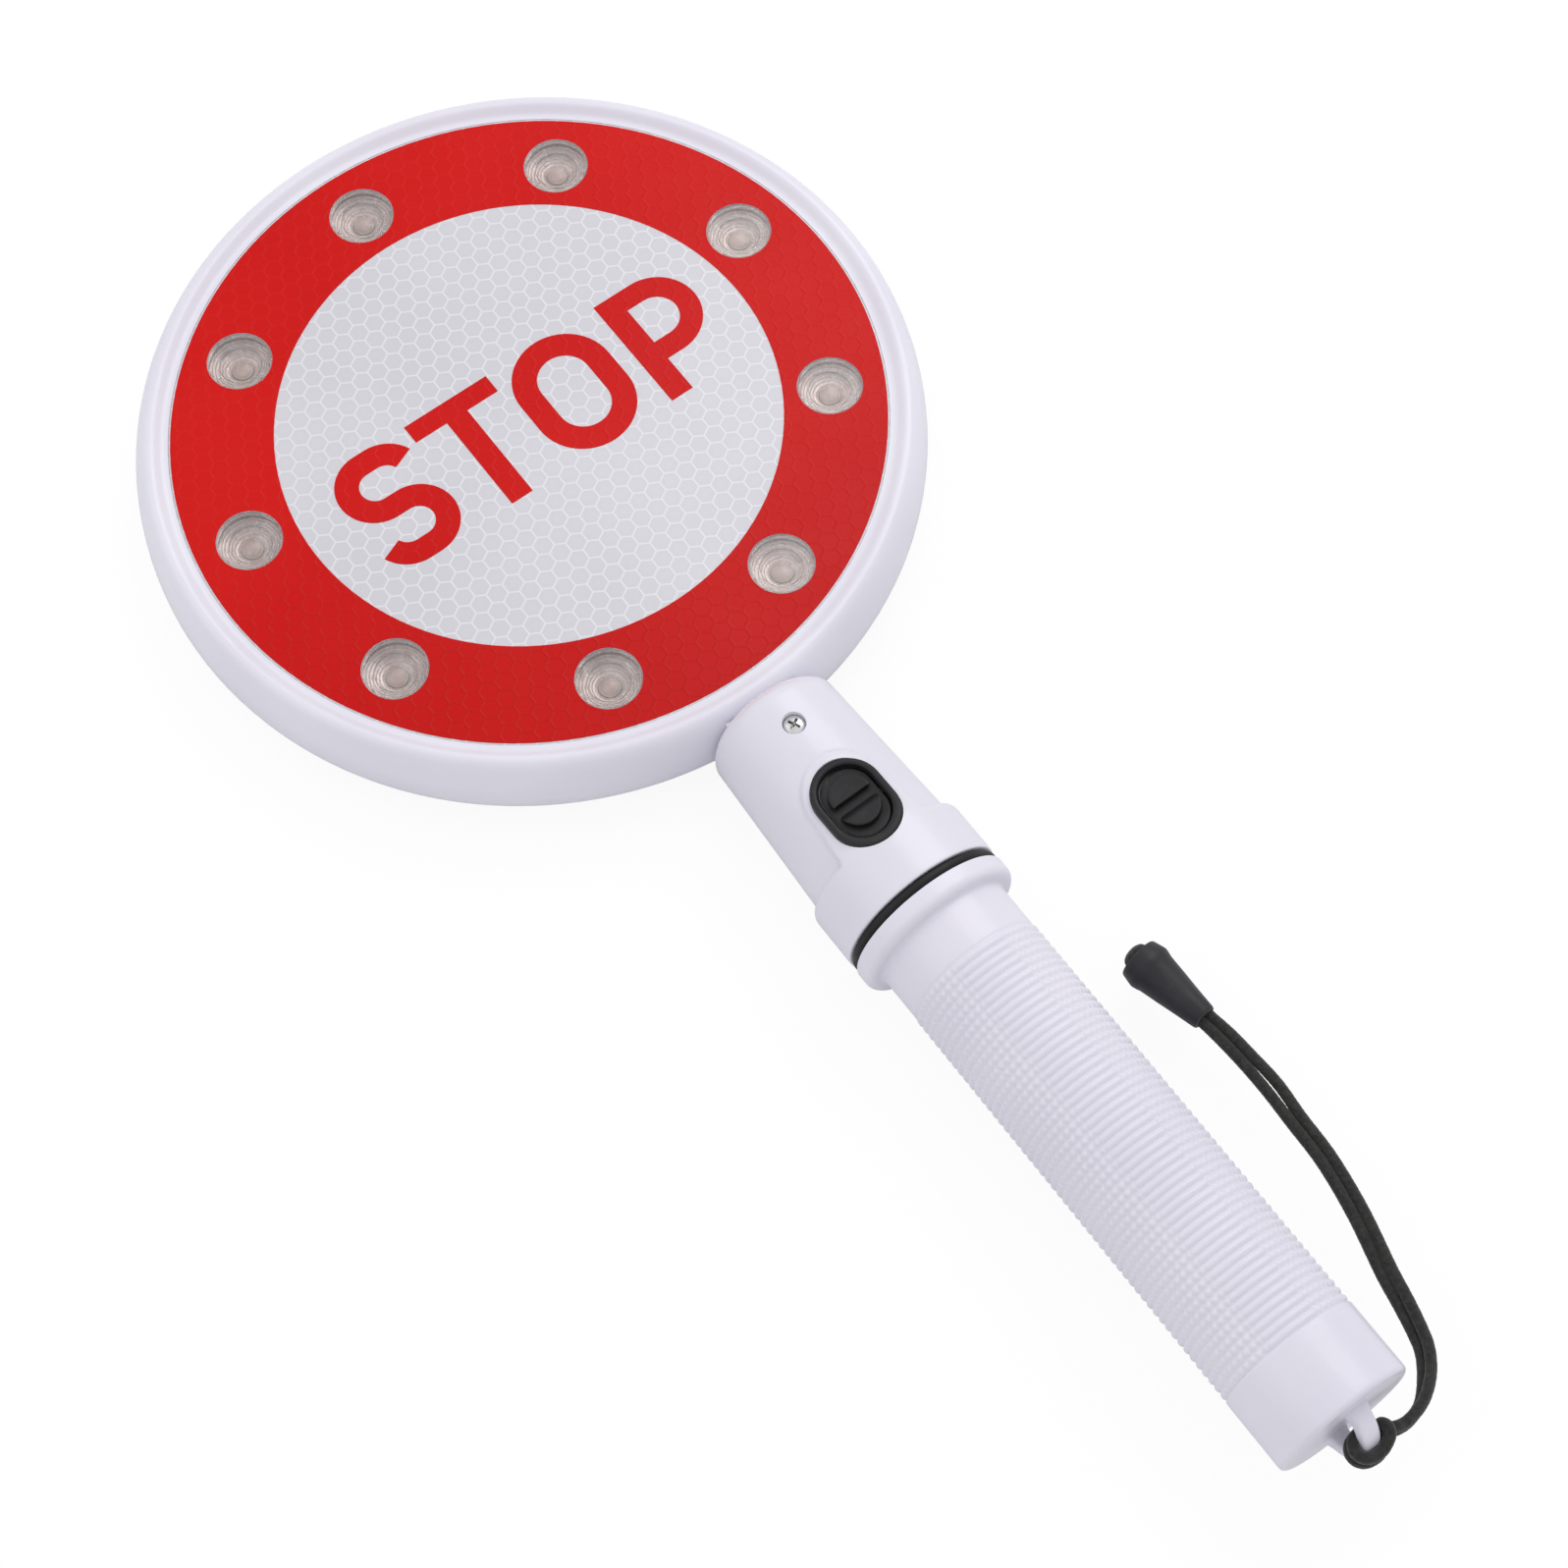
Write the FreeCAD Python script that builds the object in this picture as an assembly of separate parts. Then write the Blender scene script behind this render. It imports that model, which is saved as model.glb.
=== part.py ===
import FreeCAD, Part
import math
import os

# Hand-held illuminated stop / slow paddle.  Millimetres.
# Frame: origin at the centre of the disc, on the outer face of the front legend film.
# +Z leaves the STOP face, +Y runs from the handle towards the top of the disc,
# +X is to the right when the STOP face is read upright.
# Along the handle, stations are Y values: "TOP" is nearer the disc, "END" nearer the butt.

V = FreeCAD.Vector
X_AXIS, Y_AXIS, Z_AXIS = V(1, 0, 0), V(0, 1, 0), V(0, 0, 1)
os.makedirs("parts", exist_ok=True)

# ---------------------------------------------------------------- dimensions
MID_Z = -7.1            # mid plane of the disc and axis of the handle

# disc
RIM_R = 90.0            # outer radius of the rounded rim
CREST_R = 86.0          # radius of the highest line of the rim bead
CREST_H = 9.7           # crest height over the mid plane
FOOT_R = 83.4           # where the bead meets the flat ledge
SHEET_R = 82.0          # reflective sheet
SHEET_T = 0.4
FILM_T = 0.1            # coloured legend film
FILM_RING_RO = 81.6
FILM_RING_RI = 58.0
FACE_T = 2.2            # face plate of a shell
WALL = 1.9              # rim wall
FLOOR_Z = -SHEET_T - FILM_T     # outer side of the face plate, under the sheet
UNDER_Z = FLOOR_Z - FACE_T      # inner side of the face plate

# lamps
LAMP_N = 9
LAMP_CIRCLE_R = 68.9
LENS_R = 7.35
LAMP_HOLE_R = 7.45
FLANGE_R = 8.5          # lens and reflector flange
RING_BOARD_RI = 60.5
RING_BOARD_RO = 77.2
RING_BOARD_T = 1.6
RING_BOARD_TOP = MID_Z + RING_BOARD_T / 2.0

# pegs that join the two shells
PEG_CIRCLE_R = 81.0
OUTER_PEG_R = 1.5
INNER_PEG_R = 1.8
PEG_REACH = 3.2         # beyond the mid plane

# neck
NECK_TOP = -91.4
NECK_TOP_R = 15.7
NECK_END_R = 17.5       # just above the collar
COLLAR_TOP = -131.4
COLLAR_END = -146.9
COLLAR_R = 19.4
NECK_BORE_R = 12.2
LAND_W = 20.6           # raised land around the switch
LAND_TOP = -110.6
TONGUE_X = 9.4          # half width
TONGUE_Z = 6.2          # half thickness
TONGUE_END = -111.5
SCREW_Y = -101.4

# switch: its parts are drawn flat, with the bezel face at z = 0
SWITCH_Y = -124.4
SWITCH_TILT = 4.0       # degrees, the handle end of the bezel stands higher
SWITCH_Z = MID_Z + 17.9
BEZEL_L, BEZEL_W, BEZEL_T = 21.6, 16.2, 1.7
OPENING_L, OPENING_W = 18.0, 12.6
HOUSING_L, HOUSING_W, HOUSING_D = 19.4, 14.0, 12.5
ROCKER_L, ROCKER_W = 17.0, 11.6
PIN_R = 0.9
PIN_Z = -4.2            # pivot, from the bezel face
TERMINAL_YS = (-5.0, 0.0, 5.0)

# spigot and its thread into the handle
SPIGOT_R = 13.3
SPIGOT_BORE_R = 10.8
SPIGOT_END = -163.4
THREAD_PITCH = 3.0
MALE_CREST_R = 14.2
MALE_TURNS = 2.5
MALE_TOP = -151.3
FEMALE_TURNS = 2.75
CONTACT_SEAT_R = 12.9   # reduced end of the spigot

# sealing ring
SEAL_TOP = COLLAR_END
SEAL_END = -149.4
SEAL_RI = 15.2
SEAL_RO = 19.2

# contact carrier
CARRIER_TOP = -157.4
CARRIER_END = -162.4

# handle tube
TUBE_BORE_R = 13.5
COUNTERBORE_R = 14.4
COUNTERBORE_END = -160.6
TUBE_FLANGE_R = 19.5
TUBE_FLANGE_END = -154.2
BAND_R = 16.0           # smooth band
RIBS_TOP = -165.6
RIBS_END = -268.0
RIB_N = 52
RIB_R = 16.3
RIB_DEPTH = 0.75
BUTT_R = 16.25
BUTT_END = -285.9
BUTT_ROUND = 1.8
BUTT_FLOOR_T = 2.6
BUTT_FLOOR = BUTT_END + BUTT_FLOOR_T

# lanyard eye on the butt
EYE_SPAN = 17.0         # overall height of the loop
EYE_OUT = 9.3           # how far it stands out
EYE_STRAP_W = 4.6
EYE_STRAP_T = 3.2
EYE_TWIST = 12.0        # degrees about the handle axis

# C cells
CELL_R = 13.1
CELL_BODY = 48.5
NUB_H = 1.4
NUB_R = 3.2
UPPER_CELL_Y = -164.3   # tip of the upper nub
LOWER_CELL_Y = UPPER_CELL_Y - NUB_H - CELL_BODY - 0.02

WIRE_R = 0.6
CORD_R = 2.3


# ------------------------------------------------------------------- helpers
def polar(radius, degrees):
    angle = math.radians(degrees)
    return radius * math.cos(angle), radius * math.sin(angle)


def cylinder(radius, height, z, x=0.0, y=0.0):
    """Cylinder along Z that stands on level z."""
    return Part.makeCylinder(radius, height, V(x, y, z), Z_AXIS)


def handle_cylinder(radius, top, end, x=0.0):
    """Cylinder along the handle between two stations, top > end."""
    return Part.makeCylinder(radius, top - end, V(x, end, MID_Z), Y_AXIS)


def cross_cylinder(radius, length, z):
    """Cylinder along X, centred on x = 0 at y = 0."""
    return Part.makeCylinder(radius, length, V(-length / 2, 0, z), X_AXIS)


def box(x0, x1, y0, y1, z0, z1):
    return Part.makeBox(x1 - x0, y1 - y0, z1 - z0, V(x0, y0, z0))


def stadium(length, width, z0, z1, y=0.0):
    """Upright prism, a stadium with its long side along Y, centred on y."""
    r = width / 2.0
    half = (length - width) / 2.0
    edges = [
        Part.makeLine(V(r, -half, 0), V(r, half, 0)),
        Part.Arc(V(r, half, 0), V(0, half + r, 0), V(-r, half, 0)).toShape(),
        Part.makeLine(V(-r, half, 0), V(-r, -half, 0)),
        Part.Arc(V(-r, -half, 0), V(0, -half - r, 0), V(r, -half, 0)).toShape(),
    ]
    prism = Part.Face(Part.Wire(edges)).extrude(V(0, 0, z1 - z0))
    prism.translate(V(0, y, z0))
    return prism


def quarter_ellipse(centre, start, end):
    # Part.Ellipse needs the end of the major axis first.
    if start.sub(centre).Length >= end.sub(centre).Length:
        ellipse = Part.Ellipse(start, end, centre)
    else:
        ellipse = Part.Ellipse(end, start, centre)
    return Part.Arc(ellipse, 0, math.pi / 2).toShape()


def revolved(outline, axis=Z_AXIS):
    """Solid of revolution from a closed outline of (radius, height along the axis) points.

    Between two points, ("arc", r, h) bends the edge through that point and
    ("ellipse", r, h) makes it a quarter ellipse around that centre.
    """
    def at(radius, height):
        return V(radius, 0, 0) + axis * height

    edges = []
    last = outline[0]
    curve = None
    for item in outline[1:] + [outline[0]]:
        if isinstance(item[0], str):
            curve = item
            continue
        start, end = at(*last), at(*item)
        if curve is None:
            edges.append(Part.makeLine(start, end))
        elif curve[0] == "ellipse":
            edges.append(quarter_ellipse(at(*curve[1:]), start, end))
        else:
            edges.append(Part.Arc(start, at(*curve[1:]), end).toShape())
        last, curve = item, None
    wire = Part.Wire(Part.__sortEdges__(edges))
    return Part.Face(wire).revolve(V(0, 0, 0), axis, 360).Solids[0]


def turned(outline):
    """Solid of revolution about the handle axis; heights are stations."""
    shape = revolved(outline, Y_AXIS)
    shape.translate(V(0, 0, MID_Z))
    return shape


def ring(inner, outer, z0, z1):
    """Revolved rectangle about Z."""
    return revolved([(inner, z0), (outer, z0), (outer, z1), (inner, z1)])


def cap(radius, edge, pole):
    """Arc item halfway along a spherical cap, from (radius, edge) to its pole on the axis."""
    rise = pole - edge
    sphere_r = (radius * radius + rise * rise) / (2.0 * abs(rise))
    centre = pole - math.copysign(sphere_r, rise)
    angle = math.asin(min(1.0, radius / sphere_r)) / 2.0
    height = centre + math.copysign(sphere_r * math.cos(angle), rise)
    return ("arc", sphere_r * math.sin(angle), height)


def solid(shape):
    """Merge split faces and unwrap a single solid."""
    shape = shape.removeSplitter()
    return shape.Solids[0] if len(shape.Solids) == 1 else shape


def union(shapes):
    return solid(shapes[0].fuse(shapes[1:]))


def rounded(shape, radius, edges):
    """Fillet the edges."""
    # The kernel may refuse a fillet or return an invalid one; the edges then stay sharp.
    try:
        result = shape.makeFillet(radius, edges)
        return result if result.isValid() else shape
    except Exception:
        return shape


def pipe(points, radius):
    """Round wire along a smooth curve; points are (x, y, height over the handle axis)."""
    curve = Part.BSplineCurve()
    curve.interpolate([V(x, y, MID_Z + z) for x, y, z in points])
    start = curve.value(curve.FirstParameter)
    direction = curve.tangent(curve.FirstParameter)[0]
    section = Part.Wire(Part.makeCircle(radius, start, direction))
    return Part.Wire(curve.toShape()).makePipeShell([section], True, False)


def turned_over(shape):
    """Turn a front piece about the long axis, so that it faces the rear."""
    rear = shape.copy()
    rear.rotate(V(0, 0, MID_Z), Y_AXIS, 180)
    return rear


def save(name, shapes):
    if not isinstance(shapes, list):
        shapes = [shapes]
    solids = [s for shape in shapes for s in shape.Solids]
    assert all(s.isValid() for s in solids), name
    out = solids[0] if len(solids) == 1 else Part.makeCompound(solids)
    out.exportStep("parts/%s.step" % name)


def save_pair(name, shapes):
    save("front_" + name, shapes)
    save("rear_" + name, [turned_over(s) for s in shapes])


LAMP_ANGLES = [90.0 + 360.0 / LAMP_N * k for k in range(LAMP_N)]
BETWEEN_ANGLES = [a + 180.0 / LAMP_N for a in LAMP_ANGLES]
LAMP_XY = [polar(LAMP_CIRCLE_R, a) for a in LAMP_ANGLES]


# ------------------------------------------------------------------- legends
# Block letters with one stroke width, drawn as unions of bars and ring sectors.
LETTER_Y0, LETTER_Y1, STROKE = -15.9, 15.2, 5.6


def bar(x0, x1, y0, y1):
    return box(x0, x1, y0, y1, 0, FILM_T)


def sector(x, y, inner, outer, start, end):
    """Ring sector around (x, y) between two angles, counter-clockwise."""
    def at(radius, degrees):
        dx, dy = polar(radius, degrees)
        return V(x + dx, y + dy, 0)

    middle = (start + end) / 2.0
    edges = [
        Part.Arc(at(outer, start), at(outer, middle), at(outer, end)).toShape(),
        Part.makeLine(at(outer, end), at(inner, end)),
        Part.Arc(at(inner, end), at(inner, middle), at(inner, start)).toShape(),
        Part.makeLine(at(inner, start), at(outer, start)),
    ]
    return Part.Face(Part.Wire(edges)).extrude(V(0, 0, FILM_T))


def letter_s(x0, x1, y0, y1, stroke):
    outer = (y1 - y0 + stroke) / 4.0
    inner = outer - stroke
    upper_y, lower_y = y1 - outer, y0 + outer
    left, right = x0 + outer, x1 - outer
    return union([
        sector(left, upper_y, inner, outer, 90, 270),
        sector(right, lower_y, inner, outer, -90, 90),
        bar(left - 0.01, right + 0.01, upper_y - outer, upper_y - inner),
        bar(left - 0.01, right + 0.01, y1 - stroke, y1),
        bar(left - 0.01, right + 0.01, y0, y0 + stroke),
        sector(right, upper_y, inner, outer, 22, 90),
        sector(left, lower_y, inner, outer, 202, 270),
    ])


def letter_t(x0, x1, y0, y1, stroke):
    middle = (x0 + x1) / 2.0
    return union([
        bar(x0, x1, y1 - stroke * 0.88, y1),
        bar(middle - stroke / 2, middle + stroke / 2, y0, y1 - stroke * 0.5),
    ])


def letter_o(x0, x1, y0, y1, stroke):
    outer = (x1 - x0) / 2.0
    inner = outer - stroke
    middle = (x0 + x1) / 2.0
    return union([
        sector(middle, y1 - outer, inner, outer, 0, 180),
        sector(middle, y0 + outer, inner, outer, 180, 360),
        bar(x0, x0 + stroke, y0 + outer - 0.01, y1 - outer + 0.01),
        bar(x1 - stroke, x1, y0 + outer - 0.01, y1 - outer + 0.01),
    ])


def letter_p(x0, x1, y0, y1, stroke):
    outer = min((y1 - y0) * 0.62 / 2.0 + stroke * 0.18, (x1 - x0) * 0.62)
    inner = outer - stroke * 0.92
    bowl_y = y1 - outer
    return union([
        bar(x0, x0 + stroke, y0, y1),
        bar(x0 + stroke - 0.01, x1 - outer + 0.01, y1 - stroke * 0.92, y1),
        bar(x0 + stroke - 0.01, x1 - outer + 0.01, bowl_y - outer, bowl_y - inner),
        sector(x1 - outer, bowl_y, inner, outer, -90, 90),
    ])


def letter_l(x0, x1, y0, y1, stroke):
    return union([bar(x0, x0 + stroke, y0, y1), bar(x0, x1, y0, y0 + stroke * 0.88)])


def letter_w(x0, x1, y0, y1, stroke):
    middle = (x0 + x1) / 2.0
    valley_inset = (x1 - x0) * 0.27
    half = stroke * 0.92 / 2

    def slant(top_x, foot_x):
        corners = [(top_x - half, y1), (top_x + half, y1),
                   (foot_x + half, y0), (foot_x - half, y0), (top_x - half, y1)]
        wire = Part.makePolygon([V(x, y, 0) for x, y in corners])
        return Part.Face(wire).extrude(V(0, 0, FILM_T))

    return union([
        slant(x0 + half, x0 + valley_inset),
        slant(middle, x0 + valley_inset),
        slant(middle, x1 - valley_inset),
        slant(x1 - half, x1 - valley_inset),
    ])


# letter, left x, right x, extra below, extra above, extra stroke
STOP = [
    (letter_s, -47.0, -25.3, 0.3, 0.5, 0.0),
    (letter_t, -24.0, -1.5, 0.0, 0.0, 0.0),
    (letter_o, 0.3, 24.6, 0.4, 0.5, 0.2),
    (letter_p, 28.7, 49.7, 0.0, 0.0, 0.2),
]
SLOW = [
    (letter_s, -52.0, -30.6, 0.3, 0.5, 0.0),
    (letter_l, -26.6, -9.6, 0.0, 0.0, 0.2),
    (letter_o, -7.4, 16.6, 0.4, 0.5, 0.2),
    (letter_w, 19.2, 52.4, 0.0, 0.0, 0.0),
]


def cut_lamp_holes(shape, radius, height, z):
    for x, y in LAMP_XY:
        shape = shape.cut(cylinder(radius, height, z, x, y))
    return solid(shape)


def legend(word):
    """Coloured ring and letters, with their outer faces at z = 0."""
    film_ring = cylinder(FILM_RING_RO, FILM_T, 0)
    film_ring = film_ring.cut(cylinder(FILM_RING_RI, FILM_T * 3, -FILM_T))
    films = [cut_lamp_holes(film_ring, LAMP_HOLE_R + 0.1, FILM_T * 3, -FILM_T)]
    for letter, x0, x1, below, above, extra in word:
        films.append(letter(x0, x1, LETTER_Y0 - below, LETTER_Y1 + above, STROKE + extra))
    for film in films:
        film.translate(V(0, 0, -FILM_T))
    return films


def reflective_sheet():
    sheet = cylinder(SHEET_R, SHEET_T, FLOOR_Z)
    return cut_lamp_holes(sheet, LAMP_HOLE_R + 0.05, SHEET_T * 3, -2 * SHEET_T)


save("front_legend", legend(STOP))
save("rear_legend", [turned_over(film) for film in legend(SLOW)])
save_pair("sheet", [reflective_sheet()])


# -------------------------------------------------------------------- shells
# The outer pegs stand between the lamps, except where the neck joins.
OUTER_PEGS = [polar(PEG_CIRCLE_R, a) for a in BETWEEN_ANGLES if a != 270.0]
INNER_PEGS = [polar(46.0, 30.0 + 60.0 * k) for k in range(6)]


def cut_wire_ways(shape, top):
    """Slot on each side of the screw, open at the mid plane."""
    for x0, x1 in ((-7.4, -3.4), (3.4, 7.4)):
        shape = shape.cut(box(x0, x1, TONGUE_END - 1, top, MID_Z - 1, MID_Z + 2.4))
    return shape


def shell_plate():
    """Face plate and hollow rim bead, down to the mid plane."""
    hollow = CREST_H - WALL
    seat_r = SHEET_R + 0.1
    return revolved([
        (0, FLOOR_Z), (seat_r, FLOOR_Z), (seat_r, 0.0), (FOOT_R, 0.0),
        ("ellipse", CREST_R, 0.0), (CREST_R, MID_Z + CREST_H),
        ("ellipse", CREST_R, MID_Z), (RIM_R, MID_Z), (RIM_R - WALL, MID_Z),
        ("ellipse", CREST_R, MID_Z), (CREST_R, MID_Z + hollow),
        (CREST_R - 0.9, MID_Z + hollow - 0.3), (CREST_R - 1.7, UNDER_Z), (0, UNDER_Z),
    ])


def circular_rib(outer):
    rib = cylinder(outer, 2.6, UNDER_Z - 2.6)
    return rib.cut(cylinder(outer - 1.4, 4, UNDER_Z - 3.3))


def half_tongue():
    """Half of the tongue that plugs into the neck."""
    tongue = box(-TONGUE_X, TONGUE_X, TONGUE_END, -84.6, MID_Z, MID_Z + TONGUE_Z)
    root = box(-TONGUE_X, TONGUE_X, -89.4, -82.0, MID_Z, MID_Z + TONGUE_Z - 0.8)
    return cut_wire_ways(tongue.fuse(root), -81.0)


def shell_blank():
    """What the two shells have in common, as a front shell."""
    additions, cuts = [], []
    for x, y in LAMP_XY:
        additions.append(cylinder(FLANGE_R + 1.2, 2.0, UNDER_Z - 2.0, x, y))
        cuts.append(cylinder(FLANGE_R + 0.1, 2.2, UNDER_Z - 2.2, x, y))
        cuts.append(cylinder(LAMP_HOLE_R, FACE_T + 2, UNDER_Z - 1, x, y))
    additions += [circular_rib(56.0), circular_rib(18.0)]
    for k in range(6):
        spoke = box(17.3, 55.0, -0.7, 0.7, UNDER_Z - 2.2, UNDER_Z + 0.1)
        spoke.rotate(V(0, 0, 0), Z_AXIS, 60.0 * k)
        additions.append(spoke)
    shell = shell_plate().fuse(additions).cut(cuts)

    columns = []
    for x, y in OUTER_PEGS:
        column = cylinder(2.4, UNDER_Z - MID_Z, MID_Z, x, y)
        columns.append(column.fuse(cylinder(2.4, 0.2, UNDER_Z - 0.1, x, y)))
    for x, y in INNER_PEGS:
        columns.append(cylinder(3.0, UNDER_Z + 0.1 - MID_Z, MID_Z, x, y))
    shell = shell.fuse(columns).fuse(half_tongue())
    # The ways continue through the rim wall.
    return solid(cut_wire_ways(shell, -80.0))


def pegs(places, radius, reach):
    return [cylinder(radius, 3.4, MID_Z - reach, x, y) for x, y in places]


def front_shell(blank):
    """Adds pegs, a locating bead on the parting line and a screw clearance hole."""
    front = blank.fuse(pegs(OUTER_PEGS, OUTER_PEG_R, PEG_REACH))
    front = front.fuse(pegs(INNER_PEGS, INNER_PEG_R, PEG_REACH))
    bead = ring(88.75, 89.25, MID_Z - 0.6, MID_Z + 0.2)
    bead = bead.cut(box(-11, 11, -95, -80, MID_Z - 2, MID_Z + 2))
    front = front.fuse(bead)
    return solid(front.cut(cylinder(1.7, 20, MID_Z - 1, y=SCREW_Y)))


def rear_shell(blank):
    """Adds sockets for the pegs, a groove for the bead and a screw pilot hole."""
    sockets = pegs(OUTER_PEGS, OUTER_PEG_R + 0.05, PEG_REACH + 0.2)
    sockets += pegs(INNER_PEGS, INNER_PEG_R + 0.05, PEG_REACH + 0.2)
    groove = ring(88.70, 89.30, MID_Z - 0.7, MID_Z + 0.1)
    rear = turned_over(blank).cut(sockets).cut(groove)
    return solid(rear.cut(cylinder(1.32, 5.4, MID_Z - 5.2, y=SCREW_Y)))


shell = shell_blank()
save("front_shell", front_shell(shell))
save("rear_shell", rear_shell(shell))


# --------------------------------------------------------------------- lamps
def lens():
    """Flanged disc with a domed hollow in its inner side."""
    face, edge, back, foot_r = -0.6, 0.35, UNDER_Z - 0.9, 5.2
    return revolved([
        (0, face), (LENS_R - edge, face), (LENS_R, face - edge), (LENS_R, UNDER_Z - 0.03),
        (FLANGE_R, UNDER_Z - 0.03), (FLANGE_R, back), (foot_r, back),
        cap(foot_r, back, UNDER_Z + 1.05), (0, UNDER_Z + 1.05),
    ])


def reflector():
    """Open flanged cup that narrows towards the board."""
    top = UNDER_Z - 0.93
    foot = RING_BOARD_TOP + 0.05
    return revolved([
        (7.2, top), (FLANGE_R, top), (FLANGE_R, top - 0.5), (7.4, top - 0.5),
        ("arc", 5.7, RING_BOARD_TOP + 0.95), (4.0, foot), (3.1, foot),
        ("arc", 5.4, RING_BOARD_TOP + 1.35),
    ])


def led():
    dome_r, edge, pole = 2.4, RING_BOARD_TOP + 1.2, RING_BOARD_TOP + 2.35
    dome = revolved([
        (0, RING_BOARD_TOP + 0.5), (dome_r, RING_BOARD_TOP + 0.5), (dome_r, edge),
        cap(dome_r, edge, pole), (0, pole),
    ])
    return cylinder(2.8, 0.8, RING_BOARD_TOP + 0.01).fuse(dome)


def placed(shape, x, y, degrees):
    """Copy, turned about Z and moved to (x, y)."""
    copy = shape.copy()
    copy.rotate(V(0, 0, 0), Z_AXIS, degrees)
    copy.translate(V(x, y, 0))
    return copy


def at_lamps(shape):
    shape = solid(shape)
    return [placed(shape, x, y, a) for (x, y), a in zip(LAMP_XY, LAMP_ANGLES)]


def led_ring_board():
    z0, z1 = MID_Z - RING_BOARD_T / 2, RING_BOARD_TOP
    board = cylinder(RING_BOARD_RO, RING_BOARD_T, z0)
    board = board.cut(cylinder(RING_BOARD_RI, RING_BOARD_T * 3, z0 - RING_BOARD_T))
    return solid(board.fuse(box(-8.0, 8.0, -79.6, -75.5, z0, z1)))


def led_resistors():
    chip = box(-1.6, 1.6, -0.8, 0.8, RING_BOARD_TOP + 0.01, RING_BOARD_TOP + 0.7)
    return [placed(chip, *polar(65.5, a), a + 90) for a in BETWEEN_ANGLES]


save_pair("lenses", at_lamps(lens()))
save_pair("reflectors", at_lamps(reflector()))
save_pair("leds", at_lamps(led()))
save("led_ring_board", led_ring_board())
save("led_resistors", led_resistors())


# ---------------------------------------------------------------------- neck
def in_neck(shape):
    """Tilt a flat-drawn switch part and set it into the neck."""
    part = shape.copy()
    part.rotate(V(0, 0, 0), X_AXIS, -SWITCH_TILT)
    part.translate(V(0, SWITCH_Y, SWITCH_Z))
    return part


def thread_ridge(inner, outer, inner_w, outer_w, top, turns):
    """Right-handed helical bar around the handle axis, running from top towards the butt."""
    helix = Part.makeHelix(THREAD_PITCH, turns * THREAD_PITCH, (inner + outer) / 2.0)
    corners = [(inner, -inner_w / 2), (outer, -outer_w / 2), (outer, outer_w / 2),
               (inner, inner_w / 2), (inner, -inner_w / 2)]
    section = Part.Wire(Part.makePolygon([V(x, 0, z) for x, z in corners]))
    ridge = Part.Wire(helix).makePipeShell([section], True, True)
    ridge.rotate(V(0, 0, 0), X_AXIS, 90)    # helix axis to -Y
    ridge.translate(V(0, top, MID_Z))
    return ridge


def with_thread(body, ridge):
    # A helical fuse can fail without an error; the body then stays plain.
    joined = body.fuse(ridge)
    if len(joined.Solids) == 1 and joined.isValid():
        return joined.Solids[0]
    return body


def neck_exterior():
    neck = turned([
        (0, -84.5), (11.2, -84.5), ("arc", 12.0, -88.2), (14.4, NECK_TOP + 0.5),
        ("arc", 15.3, NECK_TOP - 0.1), (NECK_TOP_R, NECK_TOP - 1.2),
        (NECK_END_R, COLLAR_TOP),
        ("arc", NECK_END_R + 0.35, COLLAR_TOP - 0.25), (NECK_END_R + 0.6, COLLAR_TOP - 0.5),
        ("arc", COLLAR_R - 0.4, COLLAR_TOP - 1.0), (COLLAR_R, COLLAR_TOP - 2.2),
        (COLLAR_R, COLLAR_END + 0.4), (COLLAR_R - 0.4, COLLAR_END),
        (SPIGOT_R, COLLAR_END), (SPIGOT_R, SPIGOT_END + 3.4),
        (CONTACT_SEAT_R, SPIGOT_END + 3.4), (CONTACT_SEAT_R, SPIGOT_END), (0, SPIGOT_END),
    ])
    # Land around the switch: a cone inside a rounded outline.
    land = Part.makeCone(19.3, 17.05, 24.0, V(0, -134.0, MID_Z), Y_AXIS)
    plan_l = 60.0
    land = land.common(
        stadium(plan_l, LAND_W, MID_Z + 5.0, MID_Z + 25.0, LAND_TOP - plan_l / 2))
    neck = solid(neck.fuse(land))

    land_edges = []
    for edge in neck.Edges:
        bounds = edge.BoundBox
        if (abs(bounds.YLength) >= 0.01 and bounds.ZMin >= MID_Z + 8
                and bounds.YMin >= COLLAR_TOP - 2.4 and bounds.YMax <= LAND_TOP + 0.2):
            land_edges.append(edge)
    softened = rounded(neck, 0.5, land_edges)
    # A fillet that loses part of the body is not used.
    return solid(softened) if softened.Volume > 0.9 * neck.Volume else neck


def neck_bore():
    socket_x, socket_z = TONGUE_X + 0.05, TONGUE_Z + 0.05
    bore = handle_cylinder(NECK_BORE_R, -93.2, -136.5)
    bore = bore.fuse(
        box(-socket_x, socket_x, -94.0, -80.0, MID_Z - socket_z, MID_Z + socket_z))
    bore = bore.fuse(
        Part.makeCone(SPIGOT_BORE_R, NECK_BORE_R, 3.0, V(0, -139.5, MID_Z), Y_AXIS))
    return bore.fuse(handle_cylinder(SPIGOT_BORE_R, -139.0, SPIGOT_END - 1))


def rim_void():
    """Space of the disc's rim, with clearance."""
    gap = 0.06
    low, high = MID_Z - CREST_H - gap, MID_Z + CREST_H + gap
    return revolved([
        (0, low), (CREST_R, low), ("ellipse", CREST_R, MID_Z), (RIM_R + gap, MID_Z),
        ("ellipse", CREST_R, MID_Z), (CREST_R, high), (0, high),
    ])


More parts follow.
